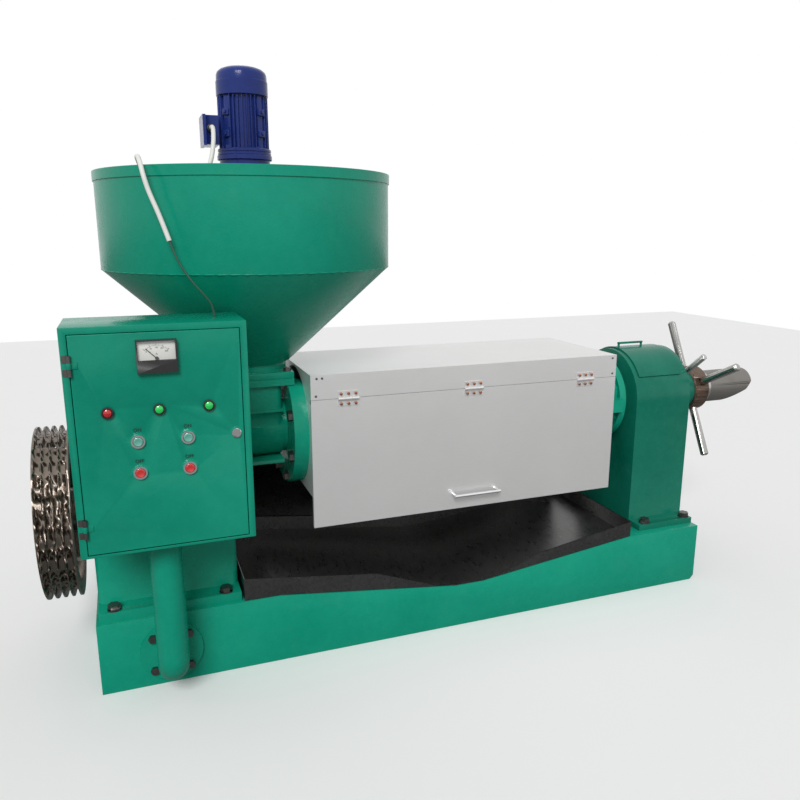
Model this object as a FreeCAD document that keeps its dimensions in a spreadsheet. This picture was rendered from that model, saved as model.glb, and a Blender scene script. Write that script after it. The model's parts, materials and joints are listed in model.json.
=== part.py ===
import FreeCAD, Part
import math
import os
import Sketcher
from FreeCAD import Placement, Rotation, Vector

# Screw oil press: a belt-driven gearbox turns a long worm shaft through a barred pressing
# cage.  Seed falls from a stirred hopper into the feed body, oil drips between the cage bars
# into a V-floored tray, and cake leaves through the choke sleeve at the far end.
#
# Frame: millimetres, +X from the pulley to the cake outlet, the operator's side faces -Y,
# +Z up.  The origin is the centre of the base frame's underside.

doc = FreeCAD.newDocument("screw_oil_press")

SIZES = {
    # base frame
    "base_length": 2000, "base_width": 524, "rail_height": 205, "rail_plate": 8,
    "rail_flange": 80, "rail_corner_cut": 14,
    "dip_centre": 103, "dip_half_top": 606, "dip_half_floor": 48, "dip_depth": 68,
    "anchor_inset": 150, "anchor_edge": 45, "anchor_radius": 11,
    "member_width": 60, "member_height": 90, "member_wall": 6,
    # oil tray and the splash plate behind it
    "tray_sheet": 2, "tray_gap": 0.3, "tray_left_margin": 102, "tray_right_margin": 4,
    "tray_front_inset": 4, "tray_back_inset": 14,
    "tray_left_wall": 68, "tray_right_wall": 54, "tray_back_wall": 50,
    "tray_left_knee": 309, "tray_left_knee_wall": 53,
    "tray_right_knee": 252, "tray_right_knee_wall": 39,
    "spout_half_width": 115, "spout_lip": 3,
    "splash_inset": 10, "splash_top": 455, "splash_fold": 14,
    # gearbox
    "gearbox_inset": 8, "gearbox_length": 380, "gearbox_width": 380, "gearbox_wall": 14,
    "gearbox_end_wall": 36, "gearbox_floor": 20, "gearbox_top_height": 150,
    "gearbox_corner": 105, "split_flange": 18, "split_flange_reach": 25,
    "foot_height": 27, "foot_reach": 60, "foot_bolt_inset": 41, "foot_bolt_edge": 19,
    "shaft_height": 648, "pulley_axis_height": 450,
    "fast_module": 4, "fast_pinion_teeth": 13, "fast_wheel_teeth": 39, "fast_face": 40,
    "slow_module": 5.5, "slow_pinion_teeth": 11, "slow_gear_teeth": 44, "slow_face": 90,
    "fast_offset": 48, "slow_offset": 190,
    "running_gap": 0.05, "cap_thickness": 12, "cap_lip": 16, "cap_gap": 2,
    "main_bearing_radius": 70, "mid_bearing_radius": 40, "input_bearing_radius": 44,
    "input_shaft_radius": 25, "input_waist_radius": 20, "mid_shaft_radius": 22,
    # pulley
    "pulley_radius": 245, "pulley_width": 90, "pulley_gap": 42, "pulley_rim": 40,
    "pulley_web": 18, "pulley_hub_radius": 62, "pulley_hole_radius": 40,
    "pulley_hole_circle": 134, "groove_pitch": 20.5, "groove_depth": 17,
    "groove_top": 17, "groove_floor": 9,
    # worm shaft and worms
    "shaft_radius": 40, "worm_seat_radius": 36, "tail_radius": 28, "shaft_tail": 1170,
    "worm_radius": 70, "worm_core_radius": 48, "worm_core_growth": 1.6,
    "worm_collar_rise": 4, "worm_pitch": 140, "worm_pitch_step": 8,
    "flight_root": 26, "flight_tip": 14, "worm_end_gap": 16,
    # feed body
    "feed_barrel_radius": 88, "feed_bore_radius": 73, "feed_flange_radius": 100,
    "feed_flange": 20, "feed_end": -443, "feed_nose_radius": 82, "feed_nose": 14,
    "throat_half_width": 86, "throat_inset": 26, "ridge_height": 710, "ridge_thickness": 8,
    "ridge_reach": 6, "feed_foot_drop": 98, "feed_foot_thickness": 12,
    "throat_opening": 100, "throat_corner": 16,
    # hopper
    "hopper_x": -508, "plate_size": 200, "plate_thickness": 20, "plate_seam": 810,
    "hopper_radius": 406, "hopper_wall": 3, "neck_radius": 94, "neck_top": 852,
    "cone_foot_radius": 107, "cone_foot": 858, "cone_top": 1132, "hopper_top": 1388,
    "hoop_height": 26, "hoop_step": 3, "outlet_radius": 46,
    # stirrer
    "beam_drop": 8, "beam_height": 50, "beam_width": 130, "beam_wall": 6,
    "stirrer_radius": 15, "stirrer_foot": 888, "beam_hole_radius": 22, "arm_radius": 9,
    "arm_step": 90, "arm_clearance": 55,
    "reducer_flange_radius": 98, "reducer_flange": 14, "reducer_radius": 70,
    "motor_foot": 1440, "motor_flange_radius": 74, "motor_flange": 17,
    "motor_core_radius": 60, "motor_core_length": 140, "motor_fins": 26,
    "fin_radius": 69, "fin_thickness": 3, "cowl_radius": 71, "cowl_height": 75,
    "cowl_dome": 20, "box_reach": 116, "box_depth": 42, "box_width": 92, "box_height": 80,
    "box_foot": 1462, "gland_radius": 11, "gland_length": 18, "gland_height": 1506,
    "gland_x": -604, "box_rim": 2, "reducer_socket": 40,
    # inlet flange and pressing cage
    "flange_ring_radius": 180, "flange_ring": 24, "flange_flat_gap": 2,
    "flange_bolt_circle": 320, "flange_bolt_count": 8,
    "cage_length": 1098, "cage_bore_radius": 90, "cage_half_height": 128,
    "cage_corner": 75, "cage_rib": 24, "cage_ribs": 8, "clamp_reach": 168,
    "clamp_thickness": 22, "clamp_inner": 94, "clamp_bolt_side": 148,
    "bar_count": 24, "bar_inner": 74, "bar_outer": 89.3, "bar_width": 19,
    "end_ring_radius": 148, "end_ring": 24,
    # end housing and cake outlet
    "housing_left": 772, "housing_length": 226, "housing_half_width": 168,
    "arch_height": 650, "housing_wall": 10, "housing_floor": 20, "housing_foot_reach": 62,
    "housing_boss_radius": 110, "lid_inset": 24, "lid_length": 165, "lid_half_width": 140,
    "lid_thickness": 5, "lid_gap": 0.3, "bail_height": 17, "bail_length": 97, "bail_radius": 4,
    "neck_outer_radius": 75, "neck_length": 104,
    "jam_ring_radius": 98, "jam_ring_width": 40, "jam_ring_gap": 12, "round_gap": 0.4,
    "jam_bar_radius": 11, "jam_bar_length": 142, "jam_bar_angle": 50,
    "hub_radius": 82, "hub_width": 66, "face_gap": 0.5, "hub_chamfer": 6,
    "rod_radius": 14, "rod_reach": 265, "rod_angle": 63, "rod_depth": 14,
    "sleeve_radius": 60, "sleeve_bore_radius": 47, "sleeve_inset": 4,
    "sleeve_tail": 24, "hood_length": 196, "hood_wall": 4, "hood_short": 76,
    # cover over the cage
    "cover_left": -386, "cover_length": 1030, "cover_width": 420, "cover_top": 836,
    "cover_sheet": 2, "hinge_height": 764, "door_foot": 377, "cover_back_foot": 470,
    "door_gap": 1, "cover_fold": 12,
    "hinge_first": 110, "hinge_pitch": 400, "hinge_length": 62,
    "hinge_leaf": 22, "hinge_leaf_sheet": 2, "knuckle_radius": 5, "hinge_pin_radius": 2.5,
    "knuckle_gap": 0.5, "pull_centre": 522, "pull_length": 148, "pull_height": 427,
    "pull_reach": 26, "pull_radius": 5,
    # control cabinet
    "cabinet_left": -1000, "cabinet_width": 400, "cabinet_foot": 500, "cabinet_height": 534,
    "cabinet_front": -494, "cabinet_depth": 192, "cabinet_sheet": 2,
    "panel_border": 17, "panel_foot_border": 8, "panel_gap": 1.5, "panel_depth": 12,
    "cabinet_hinge_radius": 5, "cabinet_hinge_length": 46, "cabinet_hinge_inset": 66,
    "lamp_height": 841, "lamp_first": -911, "control_pitch": 110, "lamp_radius": 10,
    "lamp_bezel": 14, "button_first": -856, "start_height": 769, "stop_height": 695,
    "button_radius": 11, "button_length": 14, "button_stand": 4, "bezel_radius": 15.5,
    "bezel_stand": 6,
    "meter_centre": -802, "meter_foot": 926, "meter_width": 88, "meter_height": 75,
    "meter_stand": 14, "meter_wall": 3, "meter_skirt": 28, "meter_back": 4, "pointer_length": 32,
    "pointer_boss": 4,
    "pointer_rest_angle": 45, "lock_x": -635, "lock_height": 769, "lock_radius": 11,
    "lock_stand": 5, "cam_length": 30,
    "plate_stand": 18, "switchgear_depth": 70,
    "post_x": -812, "post_y": -382, "post_radius": 40, "post_wall": 4, "elbow_height": 102,
    "post_flange_radius": 84, "post_flange": 14, "post_bolt_circle": 136,
    "cap_plate": 150, "cap_plate_thickness": 8,
    # fasteners and cable
    "bolt_head_radius": 17, "bolt_head": 13, "bolt_shank": 10, "washer_radius": 19,
    "washer": 3, "sleeve_cable_radius": 5.8, "lead_cable_radius": 2.5,
}


class Size:
    """A number together with the formula that gives it, so that a property can be bound."""

    def __init__(self, formula, value):
        self.formula = formula
        self.value = value

    def joined(self, sign, other, value):
        return Size("(%s %s %s)" % (self.formula, sign, size(other).formula), value)

    def __add__(self, other):
        return self.joined("+", other, self.value + size(other).value)

    def __sub__(self, other):
        return self.joined("-", other, self.value - size(other).value)

    def __mul__(self, other):
        return self.joined("*", other, self.value * size(other).value)

    def __truediv__(self, other):
        return self.joined("/", other, self.value / size(other).value)

    def __radd__(self, other):
        return size(other) + self

    def __rsub__(self, other):
        return size(other) - self

    def __rmul__(self, other):
        return size(other) * self

    def __rtruediv__(self, other):
        return size(other) / self

    def __neg__(self):
        return size(0) - self


def size(amount):
    if isinstance(amount, Size):
        return amount
    return Size("(%r)" % float(amount), float(amount))


def root(amount):
    return Size("sqrt(%s)" % amount.formula, math.sqrt(amount.value))


def sine(degrees):
    degrees = size(degrees)
    return Size("sin(%s)" % degrees.formula, math.sin(math.radians(degrees.value)))


def cosine(degrees):
    degrees = size(degrees)
    return Size("cos(%s)" % degrees.formula, math.cos(math.radians(degrees.value)))


HALF_CIRCLE = Size("(180 deg)", 180.0)


def bearing_of(across, up):
    """The turn about +X, in degrees, that brings +Z onto the direction (across, up)."""
    degrees = math.degrees(math.atan2(-across.value, up.value))
    return Size("atan2(-(%s); %s)" % (across.formula, up.formula), degrees)


class Sheet:
    """The spreadsheet of driving sizes: an alias reads as an attribute."""

    def __init__(self, sizes):
        self.values = sizes
        cells = doc.addObject("Spreadsheet::Sheet", "sizes")
        for row, (alias, value) in enumerate(sizes.items(), start=1):
            cells.set("A%d" % row, alias)
            cells.set("B%d" % row, str(value))
            cells.setAlias("B%d" % row, alias)

    def __getattr__(self, alias):
        return Size("sizes." + alias, float(self.values[alias]))


s = Sheet(SIZES)
doc.recompute()

pieces = []


def bind(thing, **amounts):
    for name, amount in amounts.items():
        amount = size(amount)
        whole = name == "Occurrences"
        setattr(thing, name, int(amount.value) if whole else amount.value)
        if "sizes." in amount.formula:
            thing.setExpression(name, amount.formula)


def place(thing, x=0, y=0, z=0, axis=None, angle=0):
    angle = size(angle)
    turn = Rotation(axis, angle.value) if axis else Rotation()
    where = [size(amount) for amount in (x, y, z)]
    thing.Placement = Placement(Vector(*[amount.value for amount in where]), turn)
    for name, amount in zip("xyz", where):
        if "sizes." in amount.formula:
            thing.setExpression("Placement.Base." + name, amount.formula)
    if "sizes." in angle.formula:
        thing.setExpression("Placement.Rotation.Angle", angle.formula)


def finished(label, thing):
    """Name a sub-part: its label is the name of its file."""
    thing.Label = label
    pieces.append(thing)
    return thing


# ---------------------------------------------------------------- primitives and booleans

ALONG = {"X": (Vector(0, 1, 0), 90), "Y": (Vector(1, 0, 0), -90), "Z": (None, 0)}


def block(x, y, z):
    item = doc.addObject("Part::Box", "block")
    bind(item, Length=x[1] - x[0], Width=y[1] - y[0], Height=z[1] - z[0])
    place(item, x[0], y[0], z[0])
    return item


def spot(along, start, centre):
    """A point at 'start' on an axis that runs through 'centre', given in X, Y, Z order."""
    if along == "X":
        return start, centre[0], centre[1]
    if along == "Y":
        return centre[0], start, centre[1]
    return centre[0], centre[1], start


def cylinder(along, radius, low, high, centre=(0, 0)):
    item = doc.addObject("Part::Cylinder", "cylinder")
    bind(item, Radius=radius, Height=high - low)
    place(item, *spot(along, low, centre), *ALONG[along])
    return item


def hexagon(along, radius, low, high, centre=(0, 0)):
    item = doc.addObject("Part::Prism", "hexagon")
    item.Polygon = 6
    bind(item, Circumradius=radius, Height=high - low)
    place(item, *spot(along, low, centre), *ALONG[along])
    return item


def fused(*items):
    result = doc.addObject("Part::MultiFuse", "fused")
    result.Shapes = list(items)
    return result


def without(base, *tools):
    result = doc.addObject("Part::Cut", "cut")
    result.Base = base
    result.Tool = tools[0] if len(tools) == 1 else together(*tools)
    return result


def shared(first, second):
    result = doc.addObject("Part::Common", "common")
    result.Base = first
    result.Tool = second
    return result


def together(*items):
    result = doc.addObject("Part::Compound", "group")
    result.Links = list(items)
    return result


def pipe(along, outer, inner, low, high, centre=(0, 0)):
    return without(cylinder(along, outer, low, high, centre),
                   cylinder(along, inner, low, high, centre))


# ---------------------------------------------------------------- bodies and sketches

def new_body(x=0, y=0, z=0, axis=None, angle=0):
    body = doc.addObject("PartDesign::Body", "body")
    place(body, x, y, z, axis, angle)
    return body


def origin_part(body, role):
    return [part for part in body.Origin.OriginFeatures if part.Role == role][0]


def new_sketch(body, plane, level=0):
    """A sketch on an origin plane, moved to 'level' along that plane's own axis."""
    sketch = body.newObject("Sketcher::SketchObject", "sketch")
    sketch.AttachmentSupport = [(origin_part(body, plane + "_Plane"), "")]
    sketch.MapMode = "FlatFace"
    level = -size(level) if plane == "XZ" else size(level)
    sketch.AttachmentOffset = Placement(Vector(0, 0, level.value), Rotation())
    if "sizes." in level.formula:
        sketch.setExpression("AttachmentOffset.Base.z", level.formula)
    return sketch


def pin(sketch, kinds, element, vertex, amounts):
    for kind, amount in zip(kinds, amounts):
        amount = size(amount)
        index = sketch.addConstraint(
            Sketcher.Constraint(kind, -1, 1, element, vertex, amount.value))
        if "sizes." in amount.formula:
            sketch.setExpression("Constraints[%d]" % index, amount.formula)


def draw_polygon(sketch, points):
    first = sketch.GeometryCount
    flat = [Vector(size(u).value, size(v).value, 0) for u, v in points]
    count = len(points)
    for index in range(count):
        sketch.addGeometry(Part.LineSegment(flat[index], flat[(index + 1) % count]), False)
    for index in range(count):
        following = first + (index + 1) % count
        sketch.addConstraint(Sketcher.Constraint("Coincident", first + index, 2, following, 1))
    for index, point in enumerate(points):
        pin(sketch, ("DistanceX", "DistanceY"), first + index, 1, point)


def draw_circle(sketch, u, v, radius):
    centre = Vector(size(u).value, size(v).value, 0)
    radius = size(radius)
    element = sketch.addGeometry(Part.Circle(centre, Vector(0, 0, 1), radius.value), False)
    pin(sketch, ("DistanceX", "DistanceY"), element, 3, (u, v))
    index = sketch.addConstraint(Sketcher.Constraint("Radius", element, radius.value))
    if "sizes." in radius.formula:
        sketch.setExpression("Constraints[%d]" % index, radius.formula)


def draw(sketch, shapes):
    """Each shape is a polygon's list of points, or a circle's (u, v, radius)."""
    for shape in shapes:
        if isinstance(shape, tuple):
            draw_circle(sketch, *shape)
        else:
            draw_polygon(sketch, shape)


def rectangle(low_u, high_u, low_v, high_v):
    return [(low_u, low_v), (high_u, low_v), (high_u, high_v), (low_u, high_v)]


def slab(body, plane, low, high, *shapes):
    """Pad the shapes from level 'low' to level 'high' along the plane's axis."""
    sketch = new_sketch(body, plane, low)
    draw(sketch, shapes)
    pad = body.newObject("PartDesign::Pad", "pad")
    pad.Profile = sketch
    pad.Reversed = plane == "XZ"
    bind(pad, Length=high - low)
    return pad


def hollow(body, plane, low, high, *shapes):
    """Cut the shapes away from level 'low' to level 'high' along the plane's axis."""
    sketch = new_sketch(body, plane, low)
    draw(sketch, shapes)
    pocket = body.newObject("PartDesign::Pocket", "pocket")
    pocket.Profile = sketch
    pocket.Reversed = plane != "XZ"
    bind(pocket, Length=high - low)
    return pocket


def turned(body, along, points):
    """Turn a profile of (place along the axis, radius) points about the body's own axis."""
    sketch = new_sketch(body, "XZ")
    profile = points if along == "X" else [(radius, level) for level, radius in points]
    draw(sketch, [profile])
    solid = body.newObject("PartDesign::Revolution", "revolution")
    solid.Profile = sketch
    solid.ReferenceAxis = (sketch, ["H_Axis" if along == "X" else "V_Axis"])
    solid.Angle = 360
    return solid


def repeated_round(body, feature, along, count):
    pattern = body.newObject("PartDesign::PolarPattern", "polar_pattern")
    pattern.Originals = [feature]
    pattern.Axis = (origin_part(body, along + "_Axis"), [""])
    pattern.Angle = 360
    bind(pattern, Occurrences=count)
    body.Tip = pattern
    return pattern


def repeated_along(body, feature, along, length, count):
    pattern = body.newObject("PartDesign::LinearPattern", "linear_pattern")
    pattern.Originals = [feature]
    pattern.Direction = (origin_part(body, along + "_Axis"), [""])
    bind(pattern, Length=length, Occurrences=count)
    body.Tip = pattern
    return pattern


def rounded(body, radius, chosen):
    """Fillet the edges for which chosen(edge) holds."""
    doc.recompute()
    feature = body.Tip
    names = ["Edge%d" % (index + 1) for index, edge in enumerate(feature.Shape.Edges)
             if chosen(edge)]
    fillet = body.newObject("PartDesign::Fillet", "fillet")
    fillet.Base = (feature, names)
    bind(fillet, Radius=radius)
    return fillet


def runs_along(edge, axis):
    """True for a straight edge parallel to the axis."""
    if edge.Curve.TypeId != "Part::GeomLine":
        return False
    start, end = [vertex.Point for vertex in edge.Vertexes]
    return (end - start).normalize().cross(axis).Length < 1e-6


# ---------------------------------------------------------------- shared places

base_left = -s.base_length / 2
base_right = s.base_length / 2
base_front = -s.base_width / 2
base_back = s.base_width / 2
gearbox_left = base_left + s.gearbox_inset
gearbox_right = gearbox_left + s.gearbox_length
gearbox_half = s.gearbox_width / 2
dip_floor = s.rail_height - s.dip_depth

fast_pinion_pitch = s.fast_module * s.fast_pinion_teeth / 2
fast_wheel_pitch = s.fast_module * s.fast_wheel_teeth / 2
slow_pinion_pitch = s.slow_module * s.slow_pinion_teeth / 2
slow_gear_pitch = s.slow_module * s.slow_gear_teeth / 2
axis_drop = s.shaft_height - s.pulley_axis_height
fast_centres = fast_pinion_pitch + fast_wheel_pitch
slow_centres = slow_pinion_pitch + slow_gear_pitch
# the middle shaft lies where both gear pairs have their right centre distances
mid_rise = (axis_drop * axis_drop + fast_centres * fast_centres
            - slow_centres * slow_centres) / (2 * axis_drop)
mid_y = root(fast_centres * fast_centres - mid_rise * mid_rise)
mid_z = s.pulley_axis_height + mid_rise

feed_left = gearbox_right
nose_end = s.feed_end + s.feed_nose
cage_left = nose_end + 2 * s.flange_ring
cage_right = cage_left + s.cage_length
hopper_plate_top = s.plate_seam + s.plate_thickness
feed_plate_foot = s.plate_seam - s.plate_thickness
beam_top = s.hopper_top - s.beam_drop
housing_right = s.housing_left + s.housing_length
neck_end = housing_right + s.neck_length
hub_left = neck_end + s.face_gap
hub_right = hub_left + s.hub_width
sleeve_end = hub_right + s.sleeve_tail
cover_right = s.cover_left + s.cover_length
cover_front = -s.cover_width / 2
cover_back = s.cover_width / 2
cabinet_right = s.cabinet_left + s.cabinet_width
cabinet_top = s.cabinet_foot + s.cabinet_height
cabinet_back = s.cabinet_front + s.cabinet_depth
panel_front = s.cabinet_front - s.cabinet_sheet


# ---------------------------------------------------------------- base frame

def rail_outline(inset, lift=0):
    """The side plate's outline with its shallow V, drawn 'inset' inside the edge."""
    low = size(inset)
    top = s.rail_height - inset + lift
    right = base_right - inset
    return [
        (base_left + inset, low), (right - s.rail_corner_cut, low),
        (right, low + s.rail_corner_cut), (right, top),
        (s.dip_centre + s.dip_half_top, top),
        (s.dip_centre + s.dip_half_floor, top - s.dip_depth),
        (s.dip_centre - s.dip_half_floor, top - s.dip_depth),
        (s.dip_centre - s.dip_half_top, top), (base_left + inset, top)]


def base_rail(label, side):
    """A boxed channel: web outside, flanges turned inward, bolt holes in the lower flange."""
    body = new_body(y=side * s.base_width / 2)
    inner = -side * s.rail_flange
    web = -side * s.rail_plate
    low, high = (web, inner) if side < 0 else (inner, web)
    slab(body, "XZ", *((0, inner) if side < 0 else (inner, size(0))), rail_outline(0))
    hollow(body, "XZ", low, high, rail_outline(s.rail_plate))
    reach = s.base_length / 2 - s.anchor_inset
    holes = [(end * reach, -side * s.anchor_edge, s.anchor_radius) for end in (-1, 1)]
    hollow(body, "XY", size(0), s.rail_plate, *holes)
    finished(label, body)


def base_members():
    """Three channels that stand on the lower flanges, and two end plates."""
    parts = []
    reach = s.base_width / 2 - s.rail_plate
    low = s.rail_plate
    high = s.rail_plate + s.member_height
    for x in (gearbox_right - s.member_width, s.dip_centre, s.housing_left):
        outside = block((x, x + s.member_width), (-reach, reach), (low, high))
        inside = block((x + s.member_wall, x + s.member_width), (-reach, reach),
                       (low + s.member_wall, high - s.member_wall))
        parts.append(without(outside, inside))
    gap = s.base_width / 2 - s.rail_flange
    for x in (base_left, base_right - s.rail_plate):
        parts.append(block((x, x + s.rail_plate), (-gap, gap),
                           (s.rail_corner_cut, s.rail_height)))
    finished("base_cross_members", together(*parts))


# ---------------------------------------------------------------- oil tray

tray_left = s.dip_centre - s.dip_half_top - s.tray_left_margin
tray_right = s.dip_centre + s.dip_half_top + s.tray_right_margin
tray_front = base_front + s.tray_front_inset
tray_back = base_back - s.tray_back_inset


def tray_floor(distance):
    """Height of the rail's top edge at a distance from the middle of the V."""
    share = (distance - s.dip_half_floor) / (s.dip_half_top - s.dip_half_floor)
    return dip_floor + s.tray_gap + s.dip_depth * share


def tray_line(lift):
    """The V from the tray's left end to its right end, 'lift' above the rails."""
    top = s.rail_height + s.tray_gap + lift
    return [(tray_left, top), (s.dip_centre - s.dip_half_top, top),
            (s.dip_centre - s.dip_half_floor, top - s.dip_depth),
            (s.dip_centre + s.dip_half_floor, top - s.dip_depth),
            (s.dip_centre + s.dip_half_top, top), (tray_right, top)]


def oil_tray():
    """A V-floored sheet tray; its front wall runs down to a pouring notch in the middle."""
    body = new_body()
    floor = tray_line(0) + tray_line(s.tray_sheet)[::-1]
    slab(body, "XZ", tray_front, tray_back, floor)
    top = s.rail_height + s.tray_gap
    lip = tray_floor(s.spout_half_width) + s.spout_lip
    rim = [(tray_right, top + s.tray_right_wall),
           (s.dip_centre + s.tray_right_knee,
            tray_floor(s.tray_right_knee) + s.tray_right_knee_wall),
           (s.dip_centre + s.spout_half_width, lip),
           (s.dip_centre + s.dip_half_floor, dip_floor + s.tray_gap + s.spout_lip),
           (s.dip_centre - s.dip_half_floor, dip_floor + s.tray_gap + s.spout_lip),
           (s.dip_centre - s.spout_half_width, lip),
           (s.dip_centre - s.tray_left_knee,
            tray_floor(s.tray_left_knee) + s.tray_left_knee_wall),
           (tray_left, top + s.tray_left_wall)]
    slab(body, "XZ", tray_front, tray_front + s.tray_sheet, tray_line(0) + rim)
    back = tray_line(0) + tray_line(s.tray_back_wall)[::-1]
    slab(body, "XZ", tray_back - s.tray_sheet, tray_back, back)
    for x, wall in ((tray_left, s.tray_left_wall), (tray_right - s.tray_sheet, s.tray_right_wall)):
        slab(body, "YZ", x, x + s.tray_sheet, rectangle(tray_front, tray_back, top, top + wall))
    finished("oil_tray", body)


def splash_plate():
    """The upright sheet behind the tray, standing on the rear rail, with a folded top."""
    body = new_body()
    back = base_back - s.splash_inset
    foot = [(x, z - s.tray_gap) for x, z in tray_line(0)]
    sheet = foot + [(tray_right, s.splash_top), (tray_left, s.splash_top)]
    slab(body, "XZ", back, back + s.tray_sheet, sheet)
    slab(body, "YZ", tray_left, tray_right,
         rectangle(back - s.splash_fold, back + s.tray_sheet,
                   s.splash_top - s.tray_sheet, s.splash_top))
    finished("splash_plate", body)


# ---------------------------------------------------------------- gearbox

def shaft_bores():
    return [(size(0), s.shaft_height, s.main_bearing_radius),
            (mid_y, mid_z, s.mid_bearing_radius),
            (size(0), s.pulley_axis_height, s.input_bearing_radius)]


def gearbox_case():
    body = new_body(x=gearbox_left)
    length = s.gearbox_length
    foot = s.rail_height
    inner = gearbox_half - s.gearbox_wall
    reach = gearbox_half + s.foot_reach
    flange = gearbox_half + s.split_flange_reach
    slab(body, "YZ", size(0), length, rectangle(-gearbox_half, gearbox_half, foot, s.shaft_height))
    rounded(body, s.throat_corner,
            lambda edge: runs_along(edge, Vector(0, 0, 1)))
    slab(body, "YZ", size(0), length, rectangle(-reach, reach, foot, foot + s.foot_height))
    slab(body, "YZ", size(0), length,
         rectangle(-flange, flange, s.shaft_height - s.split_flange, s.shaft_height))
    hollow(body, "YZ", s.gearbox_end_wall, length - s.gearbox_end_wall,
           rectangle(-inner, inner, foot + s.gearbox_floor, s.shaft_height))
    hollow(body, "YZ", size(0), length, *shaft_bores())
    holes = [(x, side * (reach - s.foot_bolt_edge), s.bolt_shank)
             for x in (s.foot_bolt_inset, length - s.foot_bolt_inset) for side in (-1, 1)]
    hollow(body, "XY", foot, foot + s.foot_height, *holes)
    finished("gearbox_case", body)


def gearbox_top():
    """The upper half of the housing, arched over the main gear."""
    body = new_body(x=gearbox_left, z=s.shaft_height)
    length = s.gearbox_length
    height = s.gearbox_top_height
    inner = gearbox_half - s.gearbox_wall
    flange = gearbox_half + s.split_flange_reach
    ceiling = height - s.gearbox_wall
    slab(body, "YZ", size(0), length, rectangle(-gearbox_half, gearbox_half, size(0), height))
    rounded(body, s.gearbox_corner,
            lambda edge: runs_along(edge, Vector(1, 0, 0)) and edge.CenterOfMass.z > 1)
    slab(body, "YZ", size(0), length, rectangle(-flange, flange, size(0), s.split_flange))
    vault = [(-inner, size(0)), (inner, size(0)), (inner, height - s.gearbox_corner),
             (inner - s.gearbox_corner * 0.8, ceiling), (s.gearbox_corner * 0.8 - inner, ceiling),
             (-inner, height - s.gearbox_corner)]
    hollow(body, "YZ", s.gearbox_end_wall, length - s.gearbox_end_wall, vault)
    hollow(body, "YZ", size(0), length, (size(0), size(0), s.main_bearing_radius))
    finished("gearbox_top", body)


def bearing_places():
    return [((0, s.shaft_height), s.main_bearing_radius, s.shaft_radius),
            ((mid_y, mid_z), s.mid_bearing_radius, s.mid_shaft_radius),
            ((0, s.pulley_axis_height), s.input_bearing_radius, s.input_shaft_radius)]


def gearbox_bearings():
    """Six bearings, pressed into the end walls; the shafts run in them."""
    rings = []
    for centre, outer, shaft in bearing_places():
        for low in (gearbox_left, gearbox_right - s.gearbox_end_wall):
            rings.append(pipe("X", outer, shaft + s.running_gap, low,
                              low + s.gearbox_end_wall, centre))
    finished("gearbox_bearings", together(*rings))


def bearing_caps():
    """Round covers over the bearings; the pulley's shaft passes through its own."""
    left = (gearbox_left - s.cap_thickness, gearbox_left)
    right = (gearbox_right, gearbox_right + s.cap_thickness)
    main, middle, driven = bearing_places()
    caps = [cylinder("X", main[1] + s.cap_lip, *left, main[0]),
            cylinder("X", middle[1] + s.cap_lip / 2, *left, middle[0]),
            pipe("X", driven[1] + s.cap_lip / 2, driven[2] + s.round_gap, *left, driven[0]),
            cylinder("X", middle[1] + s.cap_lip / 2, *right, middle[0]),
            cylinder("X", driven[1] + s.cap_lip / 2, *right, driven[0])]
    finished("gearbox_bearing_caps", together(*caps))


def toothed_disc(module, teeth, low, high, across, up, half_turn):
    """A spur gear whose first tooth, or first gap, points along (across, up)."""
    pitch_radius = module * teeth / 2
    foot_radius = pitch_radius - module * 1.2
    arc = module * math.pi
    turn = bearing_of(across, up)
    if half_turn:
        turn = turn + HALF_CIRCLE / teeth
    body = new_body(axis=Vector(1, 0, 0), angle=turn)
    slab(body, "YZ", low, high, (size(0), size(0), foot_radius))
    tooth = [(-0.3 * arc, foot_radius - 0.3 * module), (0.3 * arc, foot_radius - 0.3 * module),
             (0.11 * arc, pitch_radius + 0.85 * module),
             (-0.11 * arc, pitch_radius + 0.85 * module)]
    first = slab(body, "YZ", low, high, tooth)
    repeated_round(body, first, "X", teeth)
    return body


def input_shaft():
    """The pulley's shaft with the first pinion cut on it."""
    low = s.fast_offset
    high = low + s.fast_face
    pinion = toothed_disc(s.fast_module, s.fast_pinion_teeth, low, high, mid_y, mid_rise, False)
    shaft = new_body()
    start = -s.pulley_gap - s.pulley_width - s.cap_thickness
    bearing = s.gearbox_end_wall + 2
    turned(shaft, "X", [
        (start, 0), (s.gearbox_length - s.cap_gap, 0),
        (s.gearbox_length - s.cap_gap, s.input_shaft_radius),
        (s.gearbox_length - bearing, s.input_shaft_radius),
        (s.gearbox_length - bearing, s.input_waist_radius), (bearing, s.input_waist_radius),
        (bearing, s.input_shaft_radius), (start, s.input_shaft_radius)])
    item = fused(shaft, pinion)
    place(item, gearbox_left, 0, s.pulley_axis_height)
    finished("input_shaft", item)


def intermediate_shaft():
    """The middle shaft: the wheel driven by the first pinion, and the second pinion."""
    wheel = toothed_disc(s.fast_module, s.fast_wheel_teeth, s.fast_offset,
                         s.fast_offset + s.fast_face, -mid_y, -mid_rise, True)
    pinion = toothed_disc(s.slow_module, s.slow_pinion_teeth, s.slow_offset,
                          s.slow_offset + s.slow_face, -mid_y, axis_drop - mid_rise, True)
    shaft = cylinder("X", s.mid_shaft_radius, s.cap_gap, s.gearbox_length - s.cap_gap)
    item = fused(shaft, wheel, pinion)
    place(item, gearbox_left, mid_y, mid_z)
    finished("intermediate_shaft", item)


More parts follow.
